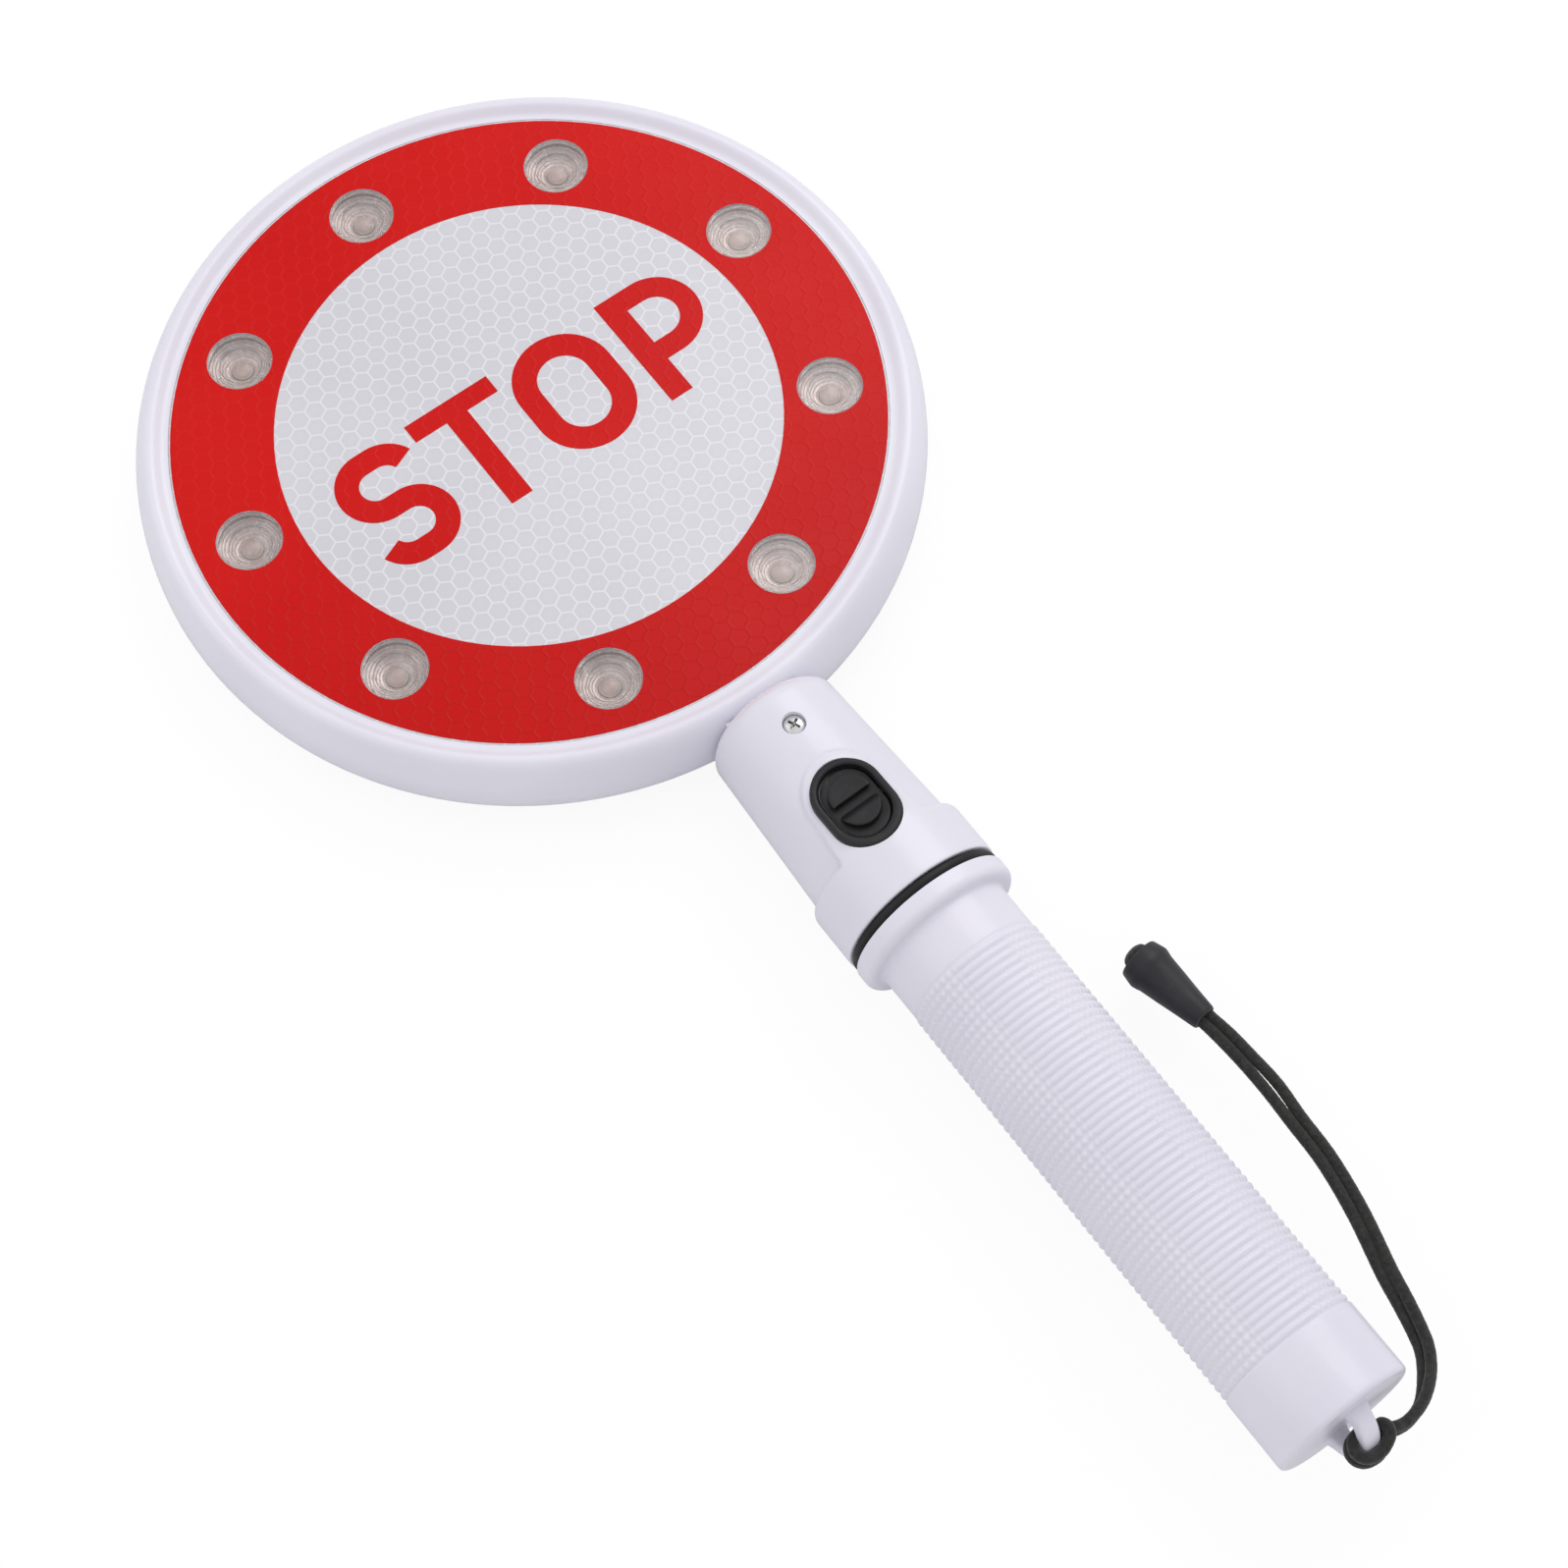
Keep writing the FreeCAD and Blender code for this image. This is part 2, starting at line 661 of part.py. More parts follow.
def neck_housing():
    neck = neck_exterior().cut(neck_bore())
    # The rim sits in a saddle at the disc end.
    neck = neck.cut(rim_void())
    neck = neck.cut(ring(0, CREST_R - 0.4, MID_Z - 30, MID_Z + 30))
    # screw hole and its recess
    neck = neck.cut(cylinder(1.6, 12, MID_Z + 8, y=SCREW_Y))
    neck = neck.cut(cylinder(2.6, 12, MID_Z + 14.05, y=SCREW_Y))
    # seats of the switch bezel and housing
    neck = neck.cut(in_neck(stadium(BEZEL_L + 0.2, BEZEL_W + 0.2, -BEZEL_T, 12.0)))
    neck = neck.cut(in_neck(stadium(HOUSING_L + 0.2, HOUSING_W + 0.2, -30.0, 1.0)))
    # The cuts may leave loose slivers; keep the main body.
    neck = max(solid(neck).Solids, key=lambda s: s.Volume)
    ridge = thread_ridge(SPIGOT_R - 0.25, MALE_CREST_R, 1.6, 0.9, MALE_TOP, MALE_TURNS)
    # The sweep may come out inside out.
    if ridge.Volume < 0:
        ridge.reverse()
    return with_thread(neck, ridge)


def neck_screw():
    """Pan head screw with a cross recess."""
    head = revolved([
        (0, 15.55), cap(2.1, 15.05, 15.55), (2.1, 15.05),
        ("arc", 2.38, 14.75), (2.4, 14.35), (2.4, 14.1), (0, 14.1),
    ])
    head.translate(V(0, SCREW_Y, MID_Z))
    shank = cylinder(1.3, 18.2, MID_Z - 4.0, y=SCREW_Y)
    tip = Part.makeCone(0.3, 1.3, 0.9, V(0, SCREW_Y, MID_Z - 4.9))
    cross = box(-1.45, 1.45, -0.34, 0.34, 0, 3).fuse(box(-0.34, 0.34, -1.45, 1.45, 0, 3))
    cross.rotate(V(0, 0, 0), Z_AXIS, 27)
    cross.translate(V(0, SCREW_Y, MID_Z + 14.45))
    return solid(head.fuse([shank, tip]).cut(cross))


save("neck_housing", neck_housing())
save("neck_screw", neck_screw())


# -------------------------------------------------------------------- switch
def switch_bezel():
    """Oval ring with a rounded outer top edge."""
    bezel = stadium(BEZEL_L, BEZEL_W, -BEZEL_T + 0.03, 0.0)
    bezel = rounded(bezel, 0.7, [e for e in bezel.Edges if e.BoundBox.ZMin > -0.01])
    return solid(bezel.cut(stadium(OPENING_L, OPENING_W, -3, 1)))


def switch_housing():
    """Cup below the bezel, with a cross hole for the pin and slots for the terminals."""
    cup = stadium(HOUSING_L, HOUSING_W, -HOUSING_D, -BEZEL_T - 0.02)
    cup = cup.cut(stadium(OPENING_L - 0.2, OPENING_W - 0.2, -HOUSING_D + 1.6, 1))
    cup = cup.cut(cross_cylinder(PIN_R + 0.02, HOUSING_W + 4, PIN_Z))
    for y in TERMINAL_YS:
        cup = cup.cut(box(-1.25, 1.25, y - 0.32, y + 0.32, -HOUSING_D - 1, -HOUSING_D + 3))
    return solid(cup)


def switch_rocker():
    """Crowned plate with two pads, a groove between them, a pivot stem and a nose below."""
    crown_r = 30.0
    plate = stadium(ROCKER_L, ROCKER_W, -3.6, -1.15)
    plate = plate.common(cross_cylinder(crown_r, 40, PIN_Z + 3.05 - crown_r))
    pads = stadium(14.2, 10.2, -2.0, 0.45)
    upper = pads.common(box(-8, 8, 0.75, 9, -3, 2))
    lower = pads.common(box(-8, 8, -9, -0.75, -3, 2))
    # The lower pad slopes down towards the groove.
    slope = [(-0.4, 0.6), (-0.4, -1.2), (-3.0, 0.6), (-0.4, 0.6)]
    wedge = Part.Face(Part.makePolygon([V(-9, y, z) for y, z in slope])).extrude(V(18, 0, 0))
    lower = lower.cut(wedge)
    stem = cross_cylinder(2.3, ROCKER_W - 2.2, PIN_Z)
    nose = box(-1.6, 1.6, -0.9, 0.9, PIN_Z - 3.4, PIN_Z)
    rocker = plate.fuse([upper, lower, stem, nose])
    return solid(rocker.cut(cross_cylinder(PIN_R + 0.05, 30, PIN_Z)))


save("switch_bezel", in_neck(switch_bezel()))
save("switch_housing", in_neck(switch_housing()))
save("switch_rocker", in_neck(switch_rocker()))
save("rocker_pin", in_neck(cross_cylinder(PIN_R, HOUSING_W - 1.6, PIN_Z)))
save("switch_terminals", [
    in_neck(box(-1.2, 1.2, y - 0.3, y + 0.3, -HOUSING_D - 3.4, -HOUSING_D + 2.2))
    for y in TERMINAL_YS])

# flasher board under the switch
FLASHER_Z = MID_Z - 6.4
CHIP_Z = FLASHER_Z + 0.01
save("flasher_board", box(-8.6, 8.6, -135.5, -113.5, FLASHER_Z - 1.2, FLASHER_Z))
save("flasher_chips", [
    box(-3.0, 3.0, -127.0, -121.0, CHIP_Z, FLASHER_Z + 1.6),
    box(4.6, 6.4, -119.5, -116.3, CHIP_Z, FLASHER_Z + 0.9),
    box(-6.4, -4.6, -119.5, -116.3, CHIP_Z, FLASHER_Z + 0.9),
    cylinder(2.4, 3.4, CHIP_Z, 4.8, -130.6),
])


# --------------------------------------------------------- seal and contacts
def sealing_ring():
    """Ring with a bulged outer side."""
    top, end, edge_r = SEAL_TOP - 0.02, SEAL_END + 0.02, SEAL_RO - 0.5
    return turned([
        (SEAL_RI, top), (edge_r, top), ("arc", SEAL_RO, (SEAL_TOP + SEAL_END) / 2.0),
        (edge_r, end), (SEAL_RI, end),
    ])


def contact_carrier():
    """Cup in the spigot, with a centre hole and a wire hole on each side."""
    above, below = CARRIER_TOP + 1, CARRIER_END - 1
    carrier = handle_cylinder(SPIGOT_BORE_R - 0.03, CARRIER_TOP, CARRIER_END)
    carrier = carrier.cut(handle_cylinder(SPIGOT_BORE_R - 1.6, above, CARRIER_TOP - 3.2))
    carrier = carrier.cut(handle_cylinder(1.3, above, below))
    for x in (-5.0, 5.0):
        carrier = carrier.cut(handle_cylinder(0.85, above, below, x))
    return solid(carrier)


def positive_contact():
    top, seat = CARRIER_END + 3.6, CARRIER_END - 0.03
    edge, pole = CARRIER_END - 0.6, CARRIER_END - 1.6
    return turned([
        (0, top), (1.2, top), (1.2, seat), (4.4, seat), (4.4, CARRIER_END - 0.5),
        (2.6, edge), cap(2.6, edge, pole), (0, pole),
    ])


def negative_band():
    band = handle_cylinder(SPIGOT_R, SPIGOT_END + 3.2, SPIGOT_END + 0.2)
    inside = handle_cylinder(CONTACT_SEAT_R + 0.03, SPIGOT_END + 4, SPIGOT_END - 1)
    return solid(band.cut(inside))


save("sealing_ring", sealing_ring())
save("contact_carrier", contact_carrier())
save("positive_contact", positive_contact())
save("negative_band", negative_band())


# --------------------------------------------------------------- handle tube
def ribbed_tube():
    root_r = RIB_R - RIB_DEPTH
    corner = BUTT_ROUND * 0.29
    outline = [
        (TUBE_BORE_R, SEAL_END - 0.6), (TUBE_BORE_R + 0.6, SEAL_END),
        (TUBE_FLANGE_R - 0.4, SEAL_END), (TUBE_FLANGE_R, SEAL_END - 0.4),
        (TUBE_FLANGE_R, TUBE_FLANGE_END + 1.9),
        ("arc", TUBE_FLANGE_R - 0.55, TUBE_FLANGE_END + 0.6),
        (TUBE_FLANGE_R - 1.9, TUBE_FLANGE_END), (BAND_R + 0.5, TUBE_FLANGE_END),
        ("arc", BAND_R + 0.12, TUBE_FLANGE_END - 0.15), (BAND_R, TUBE_FLANGE_END - 0.6),
        (BAND_R, RIBS_TOP + 0.7), (BAND_R - RIB_DEPTH + 0.3, RIBS_TOP + 0.25),
    ]
    pitch = (RIBS_TOP - RIBS_END) / RIB_N
    for k in range(RIB_N):
        top = RIBS_TOP - k * pitch
        outline += [(root_r, top - 0.12), ("arc", RIB_R, top - pitch / 2.0),
                    (root_r, top - pitch + 0.12)]
    outline += [
        (BUTT_R - 0.35, RIBS_END - 0.3), (BUTT_R, RIBS_END - 0.8),
        (BUTT_R, BUTT_END + BUTT_ROUND), ("arc", BUTT_R - corner, BUTT_END + corner),
        (BUTT_R - BUTT_ROUND, BUTT_END), (0, BUTT_END), (0, BUTT_FLOOR),
        (TUBE_BORE_R - 1.2, BUTT_FLOOR), (TUBE_BORE_R, BUTT_FLOOR + 1.2),
    ]
    return turned(outline)


def half_round(half, out, base, width):
    """Half-round slab standing out towards -Y from station base, thick along X."""
    edges = [
        Part.Arc(V(0, base, -half), V(0, base - out, 0), V(0, base, half)).toShape(),
        Part.makeLine(V(0, base, half), V(0, base, -half)),
    ]
    return Part.Face(Part.Wire(edges)).extrude(V(width, 0, 0))


def lanyard_eye():
    half = EYE_SPAN / 2.0
    sunk = 0.8      # root inside the butt
    eye = half_round(half, EYE_OUT + sunk, BUTT_END + sunk, EYE_STRAP_W)
    hole = half_round(half - EYE_STRAP_T, EYE_OUT - EYE_STRAP_T, BUTT_END, EYE_STRAP_W + 4)
    hole.translate(V(-2, 0, 0))
    eye = eye.cut(hole)
    eye.translate(V(-EYE_STRAP_W / 2.0, 0, 0))
    curved = [e for e in eye.Edges
              if e.BoundBox.YMin <= BUTT_END - 0.2 and e.BoundBox.XLength < 0.01]
    eye = rounded(eye, 1.0, curved)
    eye.rotate(V(0, 0, 0), Y_AXIS, EYE_TWIST)
    eye.translate(V(0, 0, MID_Z))
    return eye


def handle_tube():
    tube = ribbed_tube().fuse(lanyard_eye())
    bore_z = MID_Z - TUBE_BORE_R
    # way for the negative strip along the bore
    tube = solid(tube.cut(
        box(-3.2, 3.2, BUTT_FLOOR, SPIGOT_END + 3.6, bore_z - 0.95, bore_z + 3.0)))
    # counterbore at the mouth, with the female thread standing in from it
    tube = solid(tube.cut(handle_cylinder(COUNTERBORE_R, SEAL_END + 1, COUNTERBORE_END)))
    female = thread_ridge(TUBE_BORE_R, COUNTERBORE_R + 0.25, 0.7, 1.2,
                          MALE_TOP + THREAD_PITCH / 2.0, FEMALE_TURNS)
    return with_thread(tube, female)


def negative_strip():
    """Strip along the bore, raised at the band and turned in under the spring."""
    low = MID_Z - TUBE_BORE_R - 0.75
    bottom = BUTT_FLOOR + 0.05
    strip = box(-3.0, 3.0, bottom, SPIGOT_END + 3.3, low, low + 0.4)
    foot = box(-3.0, 3.0, bottom, bottom + 0.4, low, MID_Z + 4.0)
    bow = box(-2.4, 2.4, SPIGOT_END + 0.6, SPIGOT_END + 2.8, low + 0.25, low + 0.87)
    return solid(strip.fuse([foot, bow]))


save("handle_tube", handle_tube())
save("negative_strip", negative_strip())


# --------------------------------------------------------- cells and spring
def save_cell(name, tip):
    """Can and its cap, with the tip of the nub at the given station."""
    top = tip - NUB_H
    end = top - CELL_BODY
    can = turned([
        (0, top), (CELL_R - 0.8, top), ("arc", CELL_R - 0.24, top - 0.24),
        (CELL_R, top - 0.8), (CELL_R, end + 0.8),
        ("arc", CELL_R - 0.24, end + 0.24), (CELL_R - 0.8, end), (0, end),
    ])
    nub = turned([
        (0, tip), (NUB_R - 0.4, tip), (NUB_R, tip - 0.4), (NUB_R, top + 0.25),
        (8.6, top + 0.25), (8.6, top + 0.01), (0, top + 0.01),
    ])
    save(name, can)
    save(name + "_cap", nub)


def battery_spring():
    """Cone spring, wider at the butt."""
    wire_r, turns = 0.6, 5.0
    top_r, end_r = 5.2, 10.4
    top = LOWER_CELL_Y - NUB_H - CELL_BODY - 0.02
    end = BUTT_FLOOR + 0.47
    height = top - end - 2 * wire_r
    angle = math.degrees(math.atan2(end_r - top_r, height))
    helix = Part.makeHelix(height / turns, height, top_r, angle)
    section = Part.Wire(Part.makeCircle(wire_r, V(top_r, 0, 0), V(0, 1, 0.17)))
    spring = Part.Wire(helix).makePipeShell([section], True, True)
    spring.rotate(V(0, 0, 0), X_AXIS, 90)
    spring.translate(V(0, top - wire_r, MID_Z))
    return spring


save_cell("upper_cell", UPPER_CELL_Y)
save_cell("lower_cell", LOWER_CELL_Y)
save("battery_spring", battery_spring())

# ---------------------------------------------------------- wires and lanyard
EYE_BAR_Y = BUTT_END - EYE_OUT + EYE_STRAP_T / 2.0      # middle of the strap's outer bar

# name, radius, path as (x, y, height over the handle axis)
PIPES = [
    ("battery_wire", WIRE_R, [
        (0.0, -156.3, 0), (0.8, -150.0, 0.5), (2.4, -143.0, 1.4), (2.6, -136.0, 1.6),
        (2.4, -131.6, 0.6)]),
    ("switch_wire", WIRE_R, [
        (2.6, -121.5, 0.5), (4.6, -117.5, -0.2), (5.4, -112.0, 0), (5.4, -104.0, 0),
        (5.4, -92.0, 0), (5.2, -83.0, 0), (5.0, -80.2, 0)]),
    ("return_wire", WIRE_R, [
        (-5.0, -163.2, 0), (-5.0, -158.0, 0), (-5.0, -150.0, 0), (-5.2, -140.0, 0),
        (-5.6, -128.0, -0.6), (-5.4, -112.0, 0), (-5.4, -104.0, 0), (-5.4, -92.0, 0),
        (-5.2, -83.0, 0), (-5.0, -80.2, 0)]),
    ("cord_near", CORD_R, [
        (6.3, EYE_BAR_Y + 1.2, -0.6), (10.5, -292.6, -1.6), (15.5, -291.2, -3.0),
        (20.6, -287.6, -4.6), (24.0, -283.6, -5.6)]),
    ("cord_far", CORD_R, [
        (25.6, -279.6, -6.3), (29.0, -267.0, -7.9), (33.2, -252.5, -9.1),
        (35.6, -239.7, -9.7), (36.0, -229.5, -9.9), (36.6, -213.0, -9.9),
        (35.6, -199.6, -9.9)]),
]
for name, radius, path in PIPES:
    save(name, pipe(path, radius))

# bell-shaped cord end
BELL_NARROW = V(35.5, -198.6, -17.0)
BELL_WIDE = V(32.7, -180.9, -17.0)
BELL_AXIS = BELL_WIDE.sub(BELL_NARROW)
BELL_L = BELL_AXIS.Length


def cord_hitch():
    """Collar around the eye's outer bar."""
    hitch = revolved([(3.4, -3.0), (5.1, -3.0), ("arc", 5.7, 0.0), (5.1, 3.0), (3.4, 3.0),
                      ("arc", 3.02, 0.0)])
    hitch.rotate(V(0, 0, 0), Y_AXIS, EYE_TWIST)
    hitch.translate(V(0, EYE_BAR_Y, MID_Z))
    return hitch


def on_bell_axis(outline):
    """Solid of revolution along the bell; heights run from its narrow end."""
    shape = revolved(outline, Y_AXIS)
    shape.rotate(V(0, 0, 0), Z_AXIS, math.degrees(math.atan2(-BELL_AXIS.x, BELL_AXIS.y)))
    shape.translate(BELL_NARROW)
    return shape


save("cord_hitch", cord_hitch())
save("cord_bell", on_bell_axis([
    (2.75, 0.0), (2.9, 0.6), (5.45, BELL_L - 4.6), ("arc", 5.6, BELL_L - 3.4),
    (5.3, BELL_L - 2.0), (4.6, BELL_L), (3.7, BELL_L), (4.3, BELL_L - 3.2),
    (2.2, 4.4), (1.55, 4.4), (1.55, 0.0),
]))
save("cord_knot", on_bell_axis([
    (0, 5.0), (2.0, 5.0), (3.2, BELL_L - 4.0), (2.7, BELL_L + 1.6),
    cap(2.7, BELL_L + 1.6, BELL_L + 3.0), (0, BELL_L + 3.0),
]))
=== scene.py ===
"""A hand-held signal disc: lamps on both faces, a neck with a switch, a grip and a wrist cord.

The disc is centred on the Z axis, its front facing +Z. The neck and the handle run along -Y,
on an axis at height MID_Z. Shapes are in millimetres until they become meshes; the studio,
the camera and the shaders are in metres.
"""
import math

import bmesh
import bpy
import numpy as np
from mathutils import Matrix, Vector


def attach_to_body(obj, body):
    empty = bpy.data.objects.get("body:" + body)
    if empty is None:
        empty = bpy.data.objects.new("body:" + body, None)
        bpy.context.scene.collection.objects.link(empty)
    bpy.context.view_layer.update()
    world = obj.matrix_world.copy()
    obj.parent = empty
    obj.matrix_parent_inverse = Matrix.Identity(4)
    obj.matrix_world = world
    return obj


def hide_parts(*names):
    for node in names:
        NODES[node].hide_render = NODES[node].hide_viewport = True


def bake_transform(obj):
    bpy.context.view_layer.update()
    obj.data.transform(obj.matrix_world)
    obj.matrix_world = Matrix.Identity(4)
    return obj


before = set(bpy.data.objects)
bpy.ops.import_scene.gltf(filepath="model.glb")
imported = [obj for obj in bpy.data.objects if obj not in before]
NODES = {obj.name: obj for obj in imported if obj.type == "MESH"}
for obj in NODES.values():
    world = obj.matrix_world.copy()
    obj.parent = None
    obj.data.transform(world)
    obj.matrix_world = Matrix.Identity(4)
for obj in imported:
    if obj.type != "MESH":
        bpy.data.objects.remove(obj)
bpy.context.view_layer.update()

scene = bpy.context.scene

MM = 0.001
TURN = 2 * math.pi
MID_Z = -7.1  # height of the disc's middle plane and of the handle's axis
SCREW_Y, SCREW_TOP = -101.4, 8.0


# ---------------------------------------------------------------- shader tools
def linear(rgb):
    """Linear RGBA from sRGB values of 0 to 255."""
    parts = [c / 255.0 for c in rgb]
    return [c / 12.92 if c <= 0.04045 else ((c + 0.055) / 1.055) ** 2.4 for c in parts] + [1.0]


def shifted(rgb, step):
    return [c + step for c in rgb]


def scaled(rgb, factor):
    return [c * factor for c in rgb]


def feed(tree, node, inputs):
    """Links the sockets among the inputs and sets the plain values."""
    for key, value in inputs.items():
        if isinstance(value, bpy.types.NodeSocket):
            tree.links.new(value, node.inputs[key])
        else:
            node.inputs[key].default_value = value


def add_node(tree, kind, inputs=None, **settings):
    node = tree.nodes.new("ShaderNode" + kind)
    for key, value in settings.items():
        setattr(node, key, value)
    feed(tree, node, inputs or {})
    return node


def empty_material(name):
    material = bpy.data.materials.new(name)
    material.use_nodes = True
    material.node_tree.nodes.clear()
    return material


class Look:
    """A Principled material in the making; its methods return output sockets."""

    def __init__(self, name):
        self.name = name
        self.material = empty_material(name + "_look")
        self.tree = self.material.node_tree
        self.output = self.node("OutputMaterial")
        self.shader = self.node("BsdfPrincipled")
        feed(self.tree, self.output, {0: self.shader.outputs[0]})
        self.place = self.node("TexCoord").outputs["Object"]
        self.colour = None
        self.normal = None

    def node(self, kind, inputs=None, **settings):
        return add_node(self.tree, kind, inputs, **settings)

    def set(self, inputs):
        feed(self.tree, self.shader, inputs)

    def noise(self, scale, detail=3.0, rough=0.5, distortion=0.0, vector=None):
        return self.node("TexNoise", {
            "Scale": scale, "Detail": detail, "Roughness": rough,
            "Distortion": distortion, "Vector": vector or self.place}).outputs[0]

    def streaks(self, stretch, **settings):
        """Noise with its own scale along each axis."""
        vector = self.vector("MULTIPLY", self.place, stretch)
        return self.noise(scale=1.0, vector=vector, **settings)

    def voronoi(self, scale, feature="F1"):
        inputs = {"Scale": scale, "Vector": self.place}
        return self.node("TexVoronoi", inputs, feature=feature).outputs["Distance"]

    def calc(self, operation, a, b=0.0, c=0.0):
        return self.node("Math", {0: a, 1: b, 2: c}, operation=operation).outputs[0]

    def times(self, a, b):
        return self.calc("MULTIPLY", a, b)

    def vector(self, operation, *values, output=0):
        inputs = dict(enumerate(values))
        return self.node("VectorMath", inputs, operation=operation).outputs[output]

    def split(self, vector):
        return self.node("SeparateXYZ", {0: vector}).outputs

    def fade(self, value, span, to=(0.0, 1.0)):
        """Eases between the two numbers of `to` as the value crosses the span."""
        inputs = dict(enumerate((value, *span, *to)))
        return self.node("MapRange", inputs, interpolation_type="SMOOTHSTEP").outputs[0]

    def paint(self, under, over, amount):
        """Lays the colour `over` on the socket `under`."""
        inputs = {0: amount, 6: under, 7: linear(over)}
        return self.node("Mix", inputs, data_type="RGBA", blend_type="MIX").outputs[2]

    def mottle(self, colours, scale, detail=3.0, span=(0.35, 0.7)):
        """Soft patches between two colours."""
        amount = self.fade(self.noise(scale, detail), span)
        return self.paint(linear(colours[0]), colours[1], amount)

    def set_colour(self, socket):
        self.colour = socket
        self.set({"Base Color": socket})

    def set_rough(self, low, high, scale, **settings):
        patches = self.noise(scale, **settings)
        self.set({"Roughness": self.fade(patches, span=(0.3, 0.7), to=(low, high))})

    def bump(self, height, strength, distance):
        """Adds relief on top of any already there."""
        inputs = {"Strength": strength, "Distance": distance, "Height": height}
        if self.normal is not None:
            inputs["Normal"] = self.normal
        self.normal = self.node("Bump", inputs).outputs[0]
        self.set({"Normal": self.normal})

    def pointiness(self):
        return self.node("NewGeometry").outputs["Pointiness"]


# ------------------------------------------------------------------- materials
def white_plastic(name, colours, rough=(0.30, 0.42), grain=0.5):
    look = Look(name)
    colour = look.mottle(colours, scale=22.0, detail=2.0, span=(0.35, 0.68))
    fine = look.noise(scale=420.0)
    colour = look.paint(colour, shifted(colours[0], -14), amount=look.times(fine, 0.05))
    # sparse specks, in some patches only
    speck = look.fade(look.voronoi(scale=190.0), span=(0.035, 0.055), to=(1.0, 0.0))
    patch = look.fade(look.noise(scale=61.0, detail=1.0), span=(0.66, 0.70))
    amount = look.times(look.times(speck, patch), 0.20)
    look.set_colour(look.paint(colour, (168, 164, 170), amount))
    look.set_rough(*rough, scale=90.0, detail=4.0, rough=0.6)
    look.set({
        "IOR": 1.49, "Subsurface Weight": 0.12, "Subsurface Radius": (0.0018, 0.0016, 0.0018),
        "Coat Weight": 0.22, "Coat Roughness": 0.07})
    scratches = look.streaks((900.0, 90.0, 900.0), detail=2.0)
    look.bump(scratches, strength=0.05 * grain, distance=0.0002)
    look.bump(look.noise(scale=1300.0, detail=2.0), strength=0.10 * grain, distance=0.00008)
    return look


def cell_wall_distance(look):
    """Distance in mm to the nearest wall of a honeycomb whose cells point along Y."""
    centre_x, centre_y = -24.6, -21.4  # middle of one cell, mm
    pitch, row = 4.31, 3.76  # spacing of cells along X and of rows along Y, mm
    waviness = 0.25  # mm
    half, height = pitch / 2, pitch * math.sqrt(3) / 2
    stretch = height / row  # makes the cells regular
    position = look.split(look.place)
    wobble = look.noise(scale=7.0, detail=1.0)
    x = look.calc("MULTIPLY_ADD", position[0], 1000.0, -centre_x)
    y = look.calc("MULTIPLY_ADD", position[1], 1000.0 * stretch, -centre_y * stretch)
    x = look.calc("ADD", x, look.times(wobble, waviness))
    point = look.node("CombineXYZ", {0: x, 1: y, 2: 0.0}).outputs[0]
    # cell centres form two interleaved rectangular lattices: take the nearer one
    ends = (half, height, 1.0), (-half, -height, -1.0)
    first = look.vector("WRAP", point, *ends)
    second = look.vector("WRAP", look.vector("ADD", point, (half, height, 0.0)), *ends)
    first_length = look.vector("LENGTH", first, output=1)
    second_length = look.vector("LENGTH", second, output=1)
    nearer = look.calc("LESS_THAN", second_length, first_length)
    offset = look.node("Mix", {0: nearer, 4: first, 5: second}, data_type="VECTOR").outputs[1]
    parts = look.split(look.vector("ABSOLUTE", offset))
    across = parts[0]
    slanted = look.calc(
        "ADD", look.times(across, 0.5), look.times(parts[1], math.sqrt(3) / 2))
    return look.calc("SUBTRACT", half, look.calc("MAXIMUM", across, slanted))


def sheeting(name):
    look = Look(name)
    distance = cell_wall_distance(look)
    wall = look.fade(distance, span=(0.12, 0.29), to=(1.0, 0.0))
    colour = look.mottle(((209, 207, 212), (215, 213, 218)), scale=16.0, detail=2.0)
    fine = look.noise(scale=900.0, detail=2.0)
    colour = look.paint(colour, (200, 198, 204), amount=look.times(fine, 0.12))
    near_wall = look.fade(distance, span=(0.4, 2.1), to=(0.25, 0.0))
    colour = look.paint(colour, (206, 204, 210), amount=near_wall)
    look.set_colour(look.paint(colour, (229, 229, 233), amount=look.times(wall, 0.80)))
    look.set_rough(0.24, 0.34, scale=60.0)
    look.set({"Coat Weight": 0.15, "Coat Roughness": 0.14})
    look.bump(wall, strength=0.15, distance=0.0001)
    look.bump(look.noise(scale=700.0, detail=2.0), strength=0.05, distance=0.00008)
    return look


def film(name, colours, wall_colour):
    look = Look(name)
    base = colours[0]
    wall = look.fade(cell_wall_distance(look), span=(0.14, 0.40), to=(1.0, 0.0))
    colour = look.mottle(colours, scale=15.0, detail=2.0)
    position = look.split(look.place)
    # painted shade: the film darker towards the handle
    low = look.fade(position[1], span=(-0.09, 0.03), to=(0.5, 0.0))
    colour = look.paint(colour, scaled(base, 0.90), amount=low)
    # painted shade: the cell walls darker towards -X and -Y, where their relief would be in shade
    tilt = look.calc("ADD", look.times(position[0], -4.0), look.times(position[1], -6.5))
    corner = look.fade(tilt, span=(0.05, 0.50))
    amount = look.times(look.times(wall, corner), 0.30)
    colour = look.paint(colour, scaled(base, 0.80), amount)
    colour = look.paint(colour, wall_colour, amount=look.times(wall, 0.10))
    fine = look.noise(scale=800.0, detail=2.0)
    look.set_colour(look.paint(colour, scaled(base, 0.8), amount=look.times(fine, 0.06)))
    look.set_rough(0.22, 0.32, scale=70.0)
    look.set({"Specular IOR Level": 0.12, "Coat Weight": 0.03, "Coat Roughness": 0.12})
    look.bump(wall, strength=0.30, distance=0.00012)
    look.bump(look.noise(scale=650.0, detail=2.0), strength=0.03, distance=0.00006)
    return look


